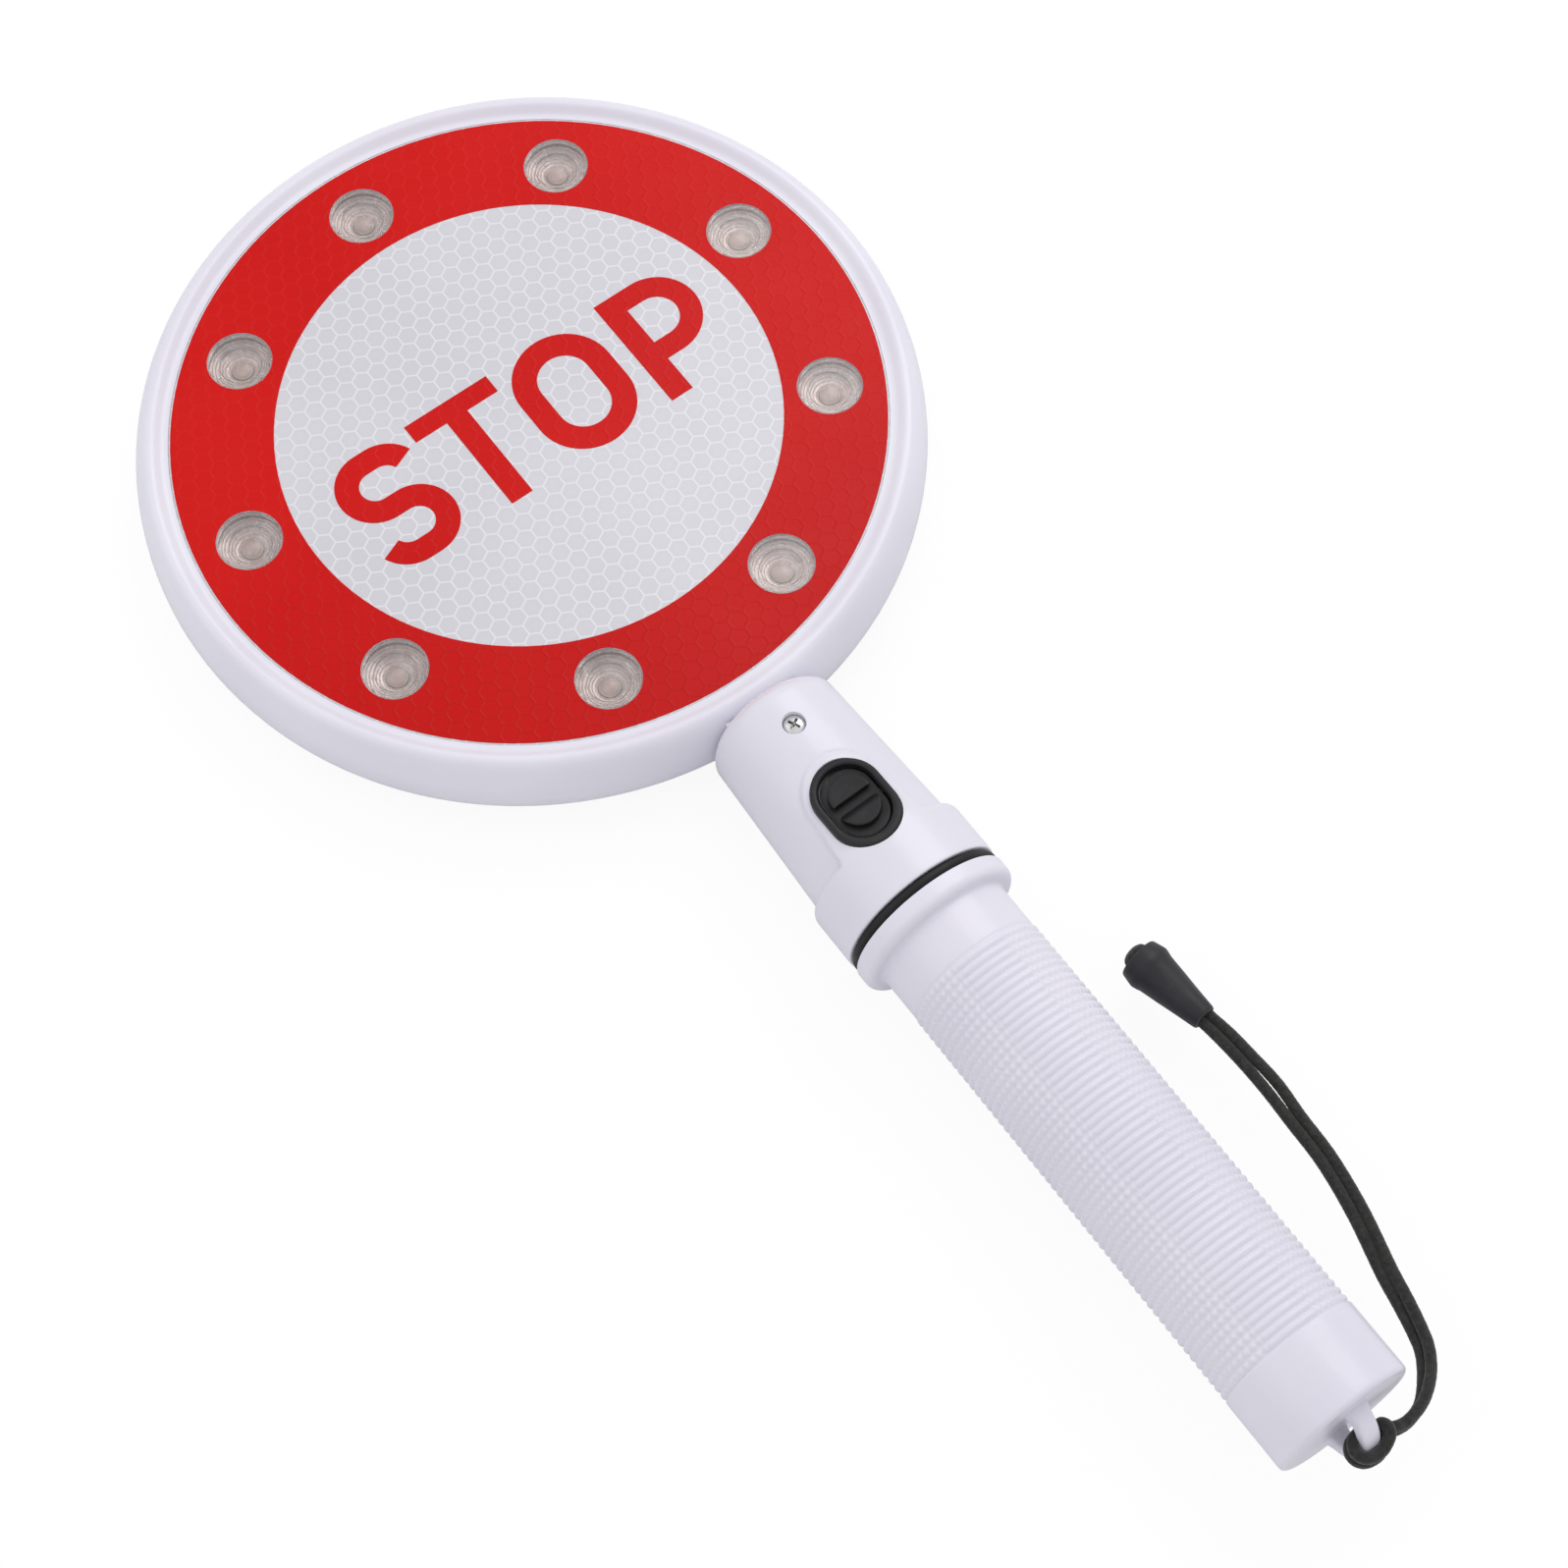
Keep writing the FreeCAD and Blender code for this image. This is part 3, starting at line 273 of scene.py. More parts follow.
def plain_plastic(name, colours, rough, grain=0.35):
    look = Look(name)
    light = colours[1]
    colour = look.mottle(colours, scale=60.0)
    dust = look.fade(look.noise(scale=500.0, detail=2.0), span=(0.60, 0.75), to=(0.0, 0.22))
    colour = look.paint(colour, shifted(light, 26), amount=dust)
    # painted highlight: lighter colour along sharp convex edges
    edges = look.fade(look.pointiness(), span=(0.52, 0.58), to=(0.0, 0.55))
    look.set_colour(look.paint(colour, shifted(light, 44), amount=edges))
    look.set_rough(*rough, scale=140.0)
    look.set({"Specular IOR Level": 0.45})
    look.bump(look.noise(scale=1500.0, detail=2.0), strength=grain, distance=0.00006)
    look.bump(look.voronoi(scale=1200.0), strength=grain * 0.5, distance=0.00005)
    return look


def metal(name, rgb, rough):
    look = Look(name)
    colour = look.mottle((rgb, shifted(rgb, 16)), scale=160.0, span=(0.3, 0.7))
    spots = look.fade(look.noise(scale=420.0, detail=2.0), span=(0.62, 0.72), to=(0.0, 0.35))
    look.set_colour(look.paint(colour, scaled(rgb, 0.72), amount=spots))
    look.set({"Metallic": 1.0})
    look.set_rough(rough, rough + 0.14, scale=300.0)
    scratches = look.streaks((3000.0, 300.0, 3000.0), detail=2.0)
    look.bump(scratches, strength=0.12, distance=0.00005)
    return look


def screw_metal(name):
    """Bright plating, with painted shade darkening the driver recess."""
    look = metal(name, (226, 226, 224), rough=0.16)
    x, y, z = look.split(look.place)[:3]
    dx = look.calc("SUBTRACT", x, 0.0)
    dy = look.calc("SUBTRACT", y, SCREW_Y * MM)
    squares = look.calc("ADD", look.times(dx, dx), look.times(dy, dy))
    radius = look.calc("SQRT", squares)
    depth = look.calc("SUBTRACT", SCREW_TOP * MM, z)
    # painted shade: darkens the driver recess, unevenly
    recess = look.times(
        look.fade(depth, span=(0.00012, 0.00034)),
        look.fade(radius, span=(0.0017, 0.0021), to=(1.0, 0.0)))
    shade_mottle = look.fade(look.noise(scale=2600.0, detail=2.0), span=(0.42, 0.58), to=(0.5, 1.0))
    look.set_colour(look.paint(look.colour, (34, 36, 30), amount=look.times(recess, shade_mottle)))
    return look


def board(name):
    look = Look(name)
    colours = (22, 82, 50), (30, 98, 58)
    colour = look.mottle(colours, scale=30.0, detail=2.0, span=(0.3, 0.7))
    tracks = look.voronoi(scale=420.0, feature="DISTANCE_TO_EDGE")
    amount = look.fade(tracks, span=(0.03, 0.06), to=(0.7, 0.0))
    look.set_colour(look.paint(colour, (70, 140, 84), amount))
    look.set_rough(0.3, 0.45, scale=200.0)
    look.bump(tracks, strength=0.2, distance=0.0001)
    return look


def clear_plastic(name, colours, scale=500.0, transmission=0.45):
    look = Look(name)
    look.set_colour(look.mottle(colours, scale, detail=2.0, span=(0.3, 0.7)))
    look.set_rough(0.03, 0.10, scale=600.0, detail=2.0)
    look.set({"IOR": 1.47, "Transmission Weight": transmission})
    look.bump(look.noise(scale=380.0, detail=2.0), strength=0.10, distance=0.0001)
    # shadow rays pass, so that light reaches what lies behind
    shadow = look.node("LightPath").outputs["Is Shadow Ray"]
    passing = look.node("BsdfTransparent", {0: (0.90, 0.88, 0.87, 1.0)}).outputs[0]
    mixed = look.node("MixShader", {0: shadow, 1: look.shader.outputs[0], 2: passing})
    feed(look.tree, look.output, {0: mixed.outputs[0]})
    return look


def cup(name):
    """Frosted, faintly pink, with painted highlight streaks and painted dark reflection streaks.
    """
    look = Look(name)
    colour = look.mottle(((222, 201, 197), (234, 215, 211)), scale=160.0, span=(0.3, 0.7))
    reflection_streak = look.streaks((2100.0, 700.0, 500.0), detail=2.0, rough=0.6, distortion=1.2)
    # painted highlight streaks (light) and painted dark reflection streaks
    bright = look.fade(reflection_streak, span=(0.54, 0.62), to=(0.0, 0.92))
    dark = look.fade(reflection_streak, span=(0.34, 0.42), to=(0.28, 0.0))
    colour = look.paint(colour, (252, 250, 249), amount=bright)
    look.set_colour(look.paint(colour, (120, 108, 106), amount=dark))
    look.set({"Metallic": 0.35})
    look.set_rough(0.22, 0.40, scale=300.0)
    look.bump(look.noise(scale=700.0, detail=2.0), strength=0.15, distance=0.0001)
    return look


def cord_fibre(name):
    look = Look(name)
    colour = look.mottle(((24, 23, 21), (42, 40, 36)), scale=900.0)
    fibres = look.streaks((5200.0, 5200.0, 5200.0))
    amount = look.fade(fibres, span=(0.58, 0.78), to=(0.0, 0.25))
    colour = look.paint(colour, (70, 66, 59), amount)
    # painted shade darkening the creases between the strands
    crease_shade = look.fade(look.pointiness(), span=(0.42, 0.49), to=(0.6, 0.0))
    look.set_colour(look.paint(colour, (12, 12, 12), amount=crease_shade))
    look.set_rough(0.72, 0.9, scale=1200.0)
    look.set({"Sheen Weight": 0.25, "Sheen Roughness": 0.5})
    look.bump(fibres, strength=0.5, distance=0.00012)
    return look


LOOKS = {look.name: look.material for look in (
    white_plastic("white_shell", ((230, 227, 237), (235, 233, 241))),
    white_plastic("white_neck", ((226, 224, 234), (231, 229, 238))),
    white_plastic("white_grip", ((227, 224, 235), (232, 229, 239)), rough=(0.34, 0.46), grain=0.9),
    sheeting("white_sheeting"),
    film("red_film", ((205, 16, 14), (212, 22, 18)), wall_colour=(222, 44, 38)),
    film("amber_film", ((236, 150, 22), (242, 162, 34)), wall_colour=(252, 196, 96)),
    clear_plastic(
        "clear_lens", ((236, 232, 230), (246, 244, 243)), scale=260.0, transmission=0.90),
    cup("reflector"),
    screw_metal("screw"),
    board("circuit_board"),
    plain_plastic("black_component", ((34, 34, 36), (46, 46, 48)), rough=(0.4, 0.6)),
    metal("plated_steel", (206, 206, 204), rough=0.14),
    metal("bright_steel", (196, 196, 196), rough=0.2),
    metal("brass", (198, 166, 98), rough=0.24),
    plain_plastic("black_plastic", ((30, 30, 33), (38, 38, 41)), rough=(0.40, 0.54)),
    plain_plastic("switch_frame", ((19, 19, 21), (25, 25, 28)), rough=(0.44, 0.58)),
    plain_plastic("black_rocker", ((13, 13, 15), (19, 19, 22)), rough=(0.46, 0.62)),
    plain_plastic("black_rubber", ((8, 8, 9), (13, 13, 15)), rough=(0.50, 0.65), grain=0.5),
    plain_plastic("cell_jacket", ((24, 52, 92), (36, 66, 108)), rough=(0.25, 0.4)),
    plain_plastic("wire_red", ((168, 26, 22), (186, 36, 30)), rough=(0.35, 0.5)),
    plain_plastic("wire_black", ((24, 24, 26), (34, 34, 36)), rough=(0.35, 0.5)),
    cord_fibre("black_cord"),
    clear_plastic("led_red", ((236, 212, 206), (252, 228, 222))),
    clear_plastic("led_amber", ((240, 200, 150), (255, 216, 166))),
)}


# ------------------------------------------------------------------ mesh tools
def add_object(name, data):
    ob = bpy.data.objects.new(name, data)
    scene.collection.objects.link(ob)
    return ob


def finish_mesh(mesh, look, sharp):
    """Smooth shading, split at edges over `sharp` degrees, and the material."""
    mesh.polygons.foreach_set("use_smooth", [True] * len(mesh.polygons))
    if sharp:
        mesh.set_sharp_from_angle(angle=math.radians(sharp))
    mesh.materials.clear()
    mesh.materials.append(LOOKS[look])


def attach(ob, body, replaces):
    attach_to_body(ob, body)
    if replaces:
        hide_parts(*replaces)


def mesh_object(name, shape, look, sharp=None):
    """An object from a shape, which is (vertices in mm, faces)."""
    verts, faces = shape
    mesh = bpy.data.meshes.new(name)
    mesh.from_pydata((np.asarray(verts, float) * MM).tolist(), [], faces)
    bm = bmesh.new()
    bm.from_mesh(mesh)
    bmesh.ops.recalc_face_normals(bm, faces=bm.faces)
    bm.to_mesh(mesh)
    bm.free()
    mesh.validate()
    finish_mesh(mesh, look, sharp)
    return add_object(name, mesh)


def piece(name, shape, body, slot, sharp, replaces=(), look=None):
    ob = mesh_object(name, shape, look or slot, sharp)
    attach(ob, body, replaces)


def welded(node, name, slot, sharp=30.0, look=None, reshape=None):
    """A joined, smooth copy of a CAD node; reshape moves its vertices, in mm."""
    mesh = bpy.data.meshes.new(name)
    bm = bmesh.new()
    bm.from_mesh(NODES[node].data)
    bmesh.ops.remove_doubles(bm, verts=bm.verts, dist=2e-6)
    bmesh.ops.dissolve_degenerate(bm, edges=bm.edges, dist=1e-7)
    bmesh.ops.recalc_face_normals(bm, faces=bm.faces)
    if reshape:
        places = reshape(np.array([v.co for v in bm.verts]) / MM) * MM
        for vert, place in zip(bm.verts, places):
            vert.co = place
    bm.to_mesh(mesh)
    bm.free()
    normals = mesh.attributes.get("custom_normal")
    if normals:
        mesh.attributes.remove(normals)
    finish_mesh(mesh, look or slot, sharp)
    attach(add_object(name, mesh), "head", (node,))


def band(first, second, count):
    """Quads between two rings that start at the given vertices."""
    j = np.arange(count)
    k = (j + 1) % count
    return np.stack([first + j, first + k, second + k, second + j], 1).tolist()


def grid_shape(rows, mode="loop"):
    """Skin over closed rings, rows (rings, points, 3).

    "loop" joins the last ring to the first, "open" leaves the ends open and "caps" closes
    them with fans.
    """
    rings, count, _ = rows.shape
    verts = rows.reshape(-1, 3)
    faces = []
    for i in range(rings if mode == "loop" else rings - 1):
        faces += band(i * count, (i + 1) % rings * count, count)
    if mode == "caps":
        j = np.arange(count)
        k = (j + 1) % count
        verts = np.vstack([verts, rows[0].mean(0), rows[-1].mean(0)])
        start, last = rings * count, (rings - 1) * count
        faces += np.stack([k, j, np.full(count, start)], 1).tolist()
        faces += np.stack([last + j, last + k, np.full(count, start + 1)], 1).tolist()
    return verts, faces


def circle_angles(count):
    return np.linspace(0, TURN, count, endpoint=False)


def lathe_y(profile, count, axis_z=MID_Z):
    """Turns a profile of (radius, y) about an axis along Y."""
    p = np.asarray(profile, float)
    a = circle_angles(count)
    rows = np.empty((len(p), count, 3))
    rows[:, :, 0] = p[:, :1] * np.sin(a)
    rows[:, :, 1] = p[:, 1:2]
    rows[:, :, 2] = axis_z + p[:, :1] * np.cos(a)
    return grid_shape(rows)


def lathe_z(profile, count, mode="loop"):
    """Turns a profile of (radius, z) about the Z axis."""
    p = np.asarray(profile, float)
    a = circle_angles(count)
    rows = np.empty((len(p), count, 3))
    rows[:, :, 0] = p[:, :1] * np.cos(a)
    rows[:, :, 1] = p[:, :1] * np.sin(a)
    rows[:, :, 2] = p[:, 1:2]
    return grid_shape(rows, mode)


def arc(x, y, radius, start, end, count):
    """Points on an arc; angles in degrees."""
    angles = np.radians(np.linspace(start, end, count))
    return [(x + radius * math.cos(a), y + radius * math.sin(a)) for a in angles]


def merge(shapes):
    verts, faces, offset = [], [], 0
    for shape_verts, shape_faces in shapes:
        verts.append(np.asarray(shape_verts, float))
        faces += [[i + offset for i in face] for face in shape_faces]
        offset += len(shape_verts)
    return np.vstack(verts), faces


def moved(shape, place):
    """The shape with its vertices passed through `place`."""
    return place(shape[0]), shape[1]


def ease(t):
    t = np.clip(t, 0, 1)
    return t * t * (3 - 2 * t)


def stadium_ring(half_width, half_length):
    """Outline of a stadium, long side along Y."""
    arc_count, line_count = 24, 6
    h = half_length - half_width
    points = []
    for side in (1, -1):
        start = 0 if side == 1 else 180
        for t in np.linspace(start, start + 180, arc_count, endpoint=False):
            a = math.radians(t)
            points.append((half_width * math.cos(a), side * h + half_width * math.sin(a)))
        for t in np.linspace(0, 1, line_count, endpoint=False):
            points.append((-side * half_width, side * (h - 2 * h * t)))
    return np.array(points)


def at_height(outline, z):
    return np.column_stack([outline, np.full(len(outline), z)])


def stadium_shape(profile, half_width, half_length):
    """Capped stadium stack from a profile of (inset, z)."""
    rings = [at_height(stadium_ring(half_width - d, half_length - d), z) for d, z in profile]
    return grid_shape(np.array(rings), "caps")


def even_curve(points, step):
    """Catmull-Rom curve through the points, evenly resampled, with its lengths."""
    given = np.asarray(points, float)
    p = np.vstack([2 * given[0] - given[1], given, 2 * given[-1] - given[-2]])
    parts = []
    for i in range(1, len(p) - 2):
        quad = p[i - 1:i + 3]
        gaps = [max(1e-6, np.linalg.norm(b - a)) ** 0.5 for a, b in zip(quad, quad[1:])]
        knots = np.r_[0.0, np.cumsum(gaps)]
        t = np.linspace(knots[1], knots[2], 24, endpoint=False)[:, None]

        def between(a, b, start, end):
            t0, t1 = knots[start], knots[end]
            return (t1 - t) / (t1 - t0) * a + (t - t0) / (t1 - t0) * b

        lines = [between(quad[k], quad[k + 1], k, k + 1) for k in range(3)]
        bends = [between(lines[k], lines[k + 1], k, k + 2) for k in range(2)]
        parts.append(between(*bends, 1, 2))
    curve = np.vstack(parts + [p[-2:-1]])
    lengths = np.r_[0, np.cumsum(np.linalg.norm(np.diff(curve, axis=0), axis=1))]
    even = np.linspace(0, lengths[-1], int(lengths[-1] / step) + 1)
    return np.stack([np.interp(even, lengths, curve[:, k]) for k in range(3)], 1), even


def braided(points, radius):
    """A braided round cord swept along the points."""
    step, columns = 0.16, 32
    lay, carriers, depth = 3.0, 4, 0.09  # length of one twist, strands each way, relief
    ripple = 0.02
    curve, lengths = even_curve(points, step)
    window = np.ones(7) / 7
    for _ in range(2):
        padded = np.vstack([curve[:1]] * 3 + [curve] + [curve[-1:]] * 3)
        curve = np.stack([np.convolve(padded[:, i], window, "valid") for i in range(3)], 1)
    tangent = np.gradient(curve, axis=0)
    tangent /= np.linalg.norm(tangent, axis=1)[:, None]
    # carry the normal along the curve so that the braid doesn't twist
    normal = np.empty_like(tangent)
    normal[0] = np.cross(tangent[0], [0.0, 0.0, 1.0])
    normal[0] /= np.linalg.norm(normal[0])
    for i in range(1, len(tangent)):
        v = normal[i - 1] - np.dot(normal[i - 1], tangent[i]) * tangent[i]
        normal[i] = v / np.linalg.norm(v)
    side = np.cross(tangent, normal)
    along, around = np.meshgrid(lengths, circle_angles(columns), indexing="ij")
    w = TURN / lay
    over = np.cos(carriers * around) * np.cos(w * along) > 0
    strand = np.where(
        over, np.cos(carriers * around + w * along), np.cos(carriers * around - w * along))
    relief = depth * (np.abs(strand) ** 0.7 - 0.6)
    relief += ripple * np.cos(3 * carriers * around + 5 * w * along)
    out = (np.cos(around)[:, :, None] * normal[:, None, :]
           + np.sin(around)[:, :, None] * side[:, None, :])
    return grid_shape(curve[:, None, :] + (radius + relief)[:, :, None] * out, "caps")


# -------------------------------------------------------------------- the disc
CREST_R = 86.0  # radius of the rim's front and rear crests
RIM_Z = -10.0  # height where the rim is widest
RIM_BULGE, RIM_FRONT, RIM_REAR = 4.75, 11.6, 7.0  # reach outwards, forwards and rearwards


def rim_curve(angle, proud=0.0):
    """Radius and height of the rim's skin, from -90 degrees (rear crest) to 90 (front)."""
    reach, rise = np.abs(np.cos(angle)), np.sin(angle)
    front = rise >= 0
    radius = CREST_R + (RIM_BULGE + proud) * np.where(front, reach, reach ** 0.8)
    z = np.where(front, RIM_Z + (RIM_FRONT + proud) * rise,
                 RIM_Z - (RIM_REAR + proud) * np.abs(rise) ** 0.8)
    return radius, z


def reshape_rim(verts):
    """Moves the CAD rim, a half ellipse in section, onto rim_curve."""
    ellipse_r, ellipse_z = 4.0, 9.7
    waist = 14.5  # angle on rim_curve that matches the ellipse's widest point, degrees
    foot_r = 82.9  # where the front skin's slope starts
    x, y, z = verts.T
    r = np.hypot(x, y)
    at_neck = (np.abs(x) < 9.6) & (y < -80) & (r > 90.06)
    across, up = (r - CREST_R) / ellipse_r, (z - MID_Z) / ellipse_z
    reach, angle = np.hypot(across, up), np.arctan2(up, across)
    degrees = np.degrees(angle)
    swing = np.where(degrees >= 0, (90 - waist) * degrees / 90, (90 + waist) * degrees / 90)
    rim_r, rim_z = rim_curve(np.radians(waist + swing))
    wall = (r >= 85.999) & (reach > 0.45) & (reach < 1.04)
    new_r = np.where(wall, r + rim_r - (CREST_R + ellipse_r * np.cos(angle)), r)
    new_z = np.where(wall, z + rim_z - (MID_Z + ellipse_z * np.sin(angle)), z)
    # the band inside the crests: front skin, its underside and the rear skin
    inside = (r > 83.3) & (r < 85.999)
    weight = np.clip((r - 83.4) / 2.6, 0, 1)
    weight = 0.15 * np.clip(z / 0.5, 0, 1) + 0.85 * weight
    skin = inside & (z > -0.05) & ~((r > 84.9) & (z < 1.2))
    new_r = np.where(skin, foot_r + (CREST_R - foot_r) * weight, new_r)
    new_z = np.where(skin, 0.8 * (1 - np.cos(np.pi * weight)), new_z)
    under = inside & ~skin & (z > -2.75) & (z < 1.2)
    new_z = np.where(under, z - np.clip((z + 2.7) / 3.4, 0, 1), new_z)
    new_z = np.where(inside & (z < -14.15), z - 0.2 * weight, new_z)
    scale = np.where(at_neck | (r < 1), 1.0, new_r / np.maximum(r, 1))
    return np.stack([x * scale, y * scale, np.where(at_neck, z, new_z)], 1)


def build_disc():
    for side in ("front", "rear"):
        welded(side + "_shell", side + "_half_shell", "white_shell", sharp=28,
               reshape=reshape_rim)
    for side in ("front", "rear"):
        welded(side + "_sheet", side + "_reflective_sheet", "white_sheeting")
    for side, slot in (("front", "red_film"), ("rear", "amber_film")):
        welded(side + "_legend", side + "_printed_film", slot)


# ------------------------------------------------------------------- the lamps
LENS_TOP, LENS_UNDER = -0.16, -2.7
BOARD_TOP = MID_Z + 0.8
LAMP_COUNT, LAMP_RING_R = 9, 68.9


def ring_of_lamps(shape, name, slot, replaces, sharp, rear=False):
    """Copies a front lamp part round the disc; rear parts are turned over about Y."""
    copies = []
    x, y, z = np.asarray(shape[0], float).T
    for k in range(LAMP_COUNT):
        a = math.radians(90 + 360 // LAMP_COUNT * k)
        c, s = math.cos(a), math.sin(a)
        verts = np.stack([x * c - y * s + LAMP_RING_R * c, x * s + y * c + LAMP_RING_R * s, z], 1)
        if rear:
            verts[:, 0] = -verts[:, 0]
            verts[:, 2] = 2 * MID_Z - verts[:, 2]
        copies.append((verts, shape[1]))
    piece(name, merge(copies), "head", slot, sharp, (replaces,))


def lens_shape():
    """Window with a rounded shoulder, a flange, ring steps underneath and a dished middle."""
    profile = [
        (0.001, LENS_TOP - 0.12), (2.4, LENS_TOP - 0.10), (4.6, LENS_TOP - 0.05),
        (6.2, LENS_TOP - 0.01), (6.9, LENS_TOP)]
    profile += arc(7.15, LENS_TOP - 0.2, 0.2, 90, 0, 6)
    profile += [
        (7.35, LENS_UNDER - 0.03), (8.45, LENS_UNDER - 0.05), (8.5, LENS_UNDER - 0.12),
        (8.5, LENS_UNDER - 0.84), (8.42, LENS_UNDER - 0.9), (6.9, LENS_UNDER - 0.9)]
    for i, r in enumerate((6.5, 6.0, 5.5)):
        rise = 0.25 * i
        profile += [(r, LENS_UNDER - 0.86 + rise), (r - 0.06, LENS_UNDER - 0.62 + rise)]
    dish_r, dish_z, dish_rise = 5.0, LENS_UNDER - 0.1, 1.1
    profile += [(dish_r, dish_z)]
    for t in (15, 30, 45, 60, 75):
        a = math.radians(t)
        profile.append((dish_r * math.cos(a), dish_z + dish_rise * math.sin(a)))
    profile += [(0.001, LENS_UNDER + 1.0)]
    return lathe_z(profile, 72)


def cup_shape():
    """A flanged cup, stepped inside."""
    top, bottom, steps = LENS_UNDER - 0.95, BOARD_TOP + 0.06, 5
    profile = [(8.5, top), (8.5, top - 0.48), (7.45, top - 0.5)]
    for i in range(steps + 1):
        t = i / steps
        profile.append((7.2 - 3.2 * t ** 1.4 + 0.28, top - 0.5 + (bottom - top + 0.5) * t))
    profile += [(3.15, bottom)]

    def inner(t):
        return 7.0 - 3.5 * t ** 1.4, top + (bottom - top + 0.2) * t

    for i in range(steps, 0, -1):
        (r1, z1), (r2, z2) = inner(i / steps), inner((i - 1) / steps)
        profile += [(r1, z1), (r1 + (r2 - r1) * 0.35, z1 + (z2 - z1) * 0.62)]
    profile += [(7.0, top)]
    return lathe_z(profile, 48)


def led_shape():
    """A domed lamp on a flat base."""
    # (radius, height over the board)
    base = [
        (0.001, 0.01), (2.74, 0.01), (2.8, 0.07), (2.8, 0.7), (2.72, 0.8), (2.42, 0.82),
        (2.4, 1.15)]
    profile = [(r, BOARD_TOP + z) for r, z in base]
    for t in range(10, 90, 13):
        a = math.radians(t)
        profile.append((2.4 * math.cos(a), BOARD_TOP + 1.2 + 1.12 * math.sin(a)))
    profile += [(0.001, BOARD_TOP + 2.33)]
    return lathe_z(profile, 40)


def build_lamps():
    # shape, piece, CAD nodes, slot at the front and at the rear, sharp angle
    parts = (
        (lens_shape(), "windows", "lenses", "clear_lens", "clear_lens", 30),
        (cup_shape(), "cups", "reflectors", "reflector", "reflector", 24),
        (led_shape(), "domes", "leds", "led_red", "led_amber", 35))
    for shape, name, nodes, front_slot, rear_slot, sharp in parts:
        for side, slot in (("front", front_slot), ("rear", rear_slot)):
            ring_of_lamps(shape, f"{side}_lamp_{name}", slot, f"{side}_{nodes}", sharp,
                          rear=side == "rear")


# -------------------------------------------------------------------- the neck
SWITCH_Y, SWITCH_RISE = -124.4, 17.9  # place along the neck, height over its axis
SWITCH_TILT, SWITCH_ROLL = math.radians(-4.0), math.radians(3.3)
FRAME_HALF_W, FRAME_HALF_L = 8.05, 11.2
FRAME_SHIFT = np.array([-0.1, -0.55])
FRAME_GAP = 0.1

# (radius, y), from the disc to the straight cone
NECK_SHOULDER = [
    (6.5, -88.45), (8.5, -88.75), (10.0, -89.15), (11.4, -89.65), (12.6, -90.2), (13.6, -90.8),
    (14.4, -91.5), (15.0, -92.2), (15.4, -92.95), (15.65, -93.6)]
# (radius, y), the step from the cone to the collar
NECK_STEP = [
    (17.55, -132.3), (17.58, -132.6), (17.65, -132.85), (17.79, -133.09), (18.0, -133.29),
    (18.28, -133.47), (18.6, -133.64), (18.9, -133.85), (19.12, -134.12), (19.28, -134.47),
    (19.37, -134.87), (19.4, -135.3)]
# (radius, y), from the spigot's end back up the bore
NECK_BORE = [
    (12.8, -163.4), (10.9, -163.4), (10.8, -163.3), (10.8, -139.5), (12.2, -136.5),
    (12.2, -110.0), (12.2, -93.2)]
COLLAR_R, SPIGOT_R = 19.4, 13.3


def switch_place(verts):
    """From the switch's own frame to the object's."""
    x, across, up = np.asarray(verts, float).T
    c, s = math.cos(SWITCH_TILT), math.sin(SWITCH_TILT)
    y = across * c - up * s + SWITCH_Y
    z = across * s + up * c + SWITCH_RISE
    c, s = math.cos(SWITCH_ROLL), math.sin(SWITCH_ROLL)
    return np.stack([x * c - z * s, y, MID_Z + x * s + z * c], 1)


def neck_outline():
    """The outer profile as (radius, y)."""
    cone = list(np.arange(-94.0, -109.0, -0.9)) + list(np.arange(-109.0, -132.1, -0.36))
    outline = NECK_SHOULDER + [(15.7 + 1.8 * (-92.6 - y) / 38.8, y) for y in cone] + NECK_STEP
    outline += [(COLLAR_R, y) for y in np.arange(-135.8, -146.3, -0.8)]
    outline += arc(19.0, -146.5, 0.4, 0, -90, 5)[1:]
    outline += [(17.0, -146.9), (14.6, -146.9), (13.35, -146.9), (SPIGOT_R, -147.0)]
    outline += [(SPIGOT_R, y) for y in np.arange(-147.3, -160.0, -0.25)]
    return outline + [(SPIGOT_R, -160.0), (12.9, -160.02), (12.9, -163.3)]


def add_switch_land(radius, y, angle, outer):
    """Raises the cone's front into a land for the switch, with a low lip."""
    land_x, land_y, land_r = -0.9, -120.9, 9.8
    level = np.minimum(COLLAR_R, 19.3 - (y + 134.0) * 0.09375)
    x = np.maximum(radius, level) * np.sin(angle)
    # distance inside the land: round at the disc end, slightly flared towards the collar
    flared = land_r + 1.3 * np.clip((land_y - y) / 12, 0, 1) - np.abs(x - land_x)
    inside = np.where(y < land_y, flared, land_r - np.hypot(x - land_x, y - land_y))
    on = outer & (np.cos(angle) > 0) & (y < -106) & (y > -136)
    lift = np.maximum(0, level - radius) * ease((inside + 0.45) / 1.25)
    radius = np.where(on, radius + lift, radius)
    # distance outside a stadium round the switch
    lip_x, lip_r, lip_line = -1.0, 8.1, 2.7
    along = np.abs(y - SWITCH_Y)
    outside = np.where(along < lip_line, np.abs(x - lip_x) - lip_r,
                       np.hypot(x - lip_x, along - lip_line) - lip_r)
    lip = 0.14 * np.exp(-((outside - 0.55) / 0.42) ** 2)
    return np.where(on, radius + lip, radius)


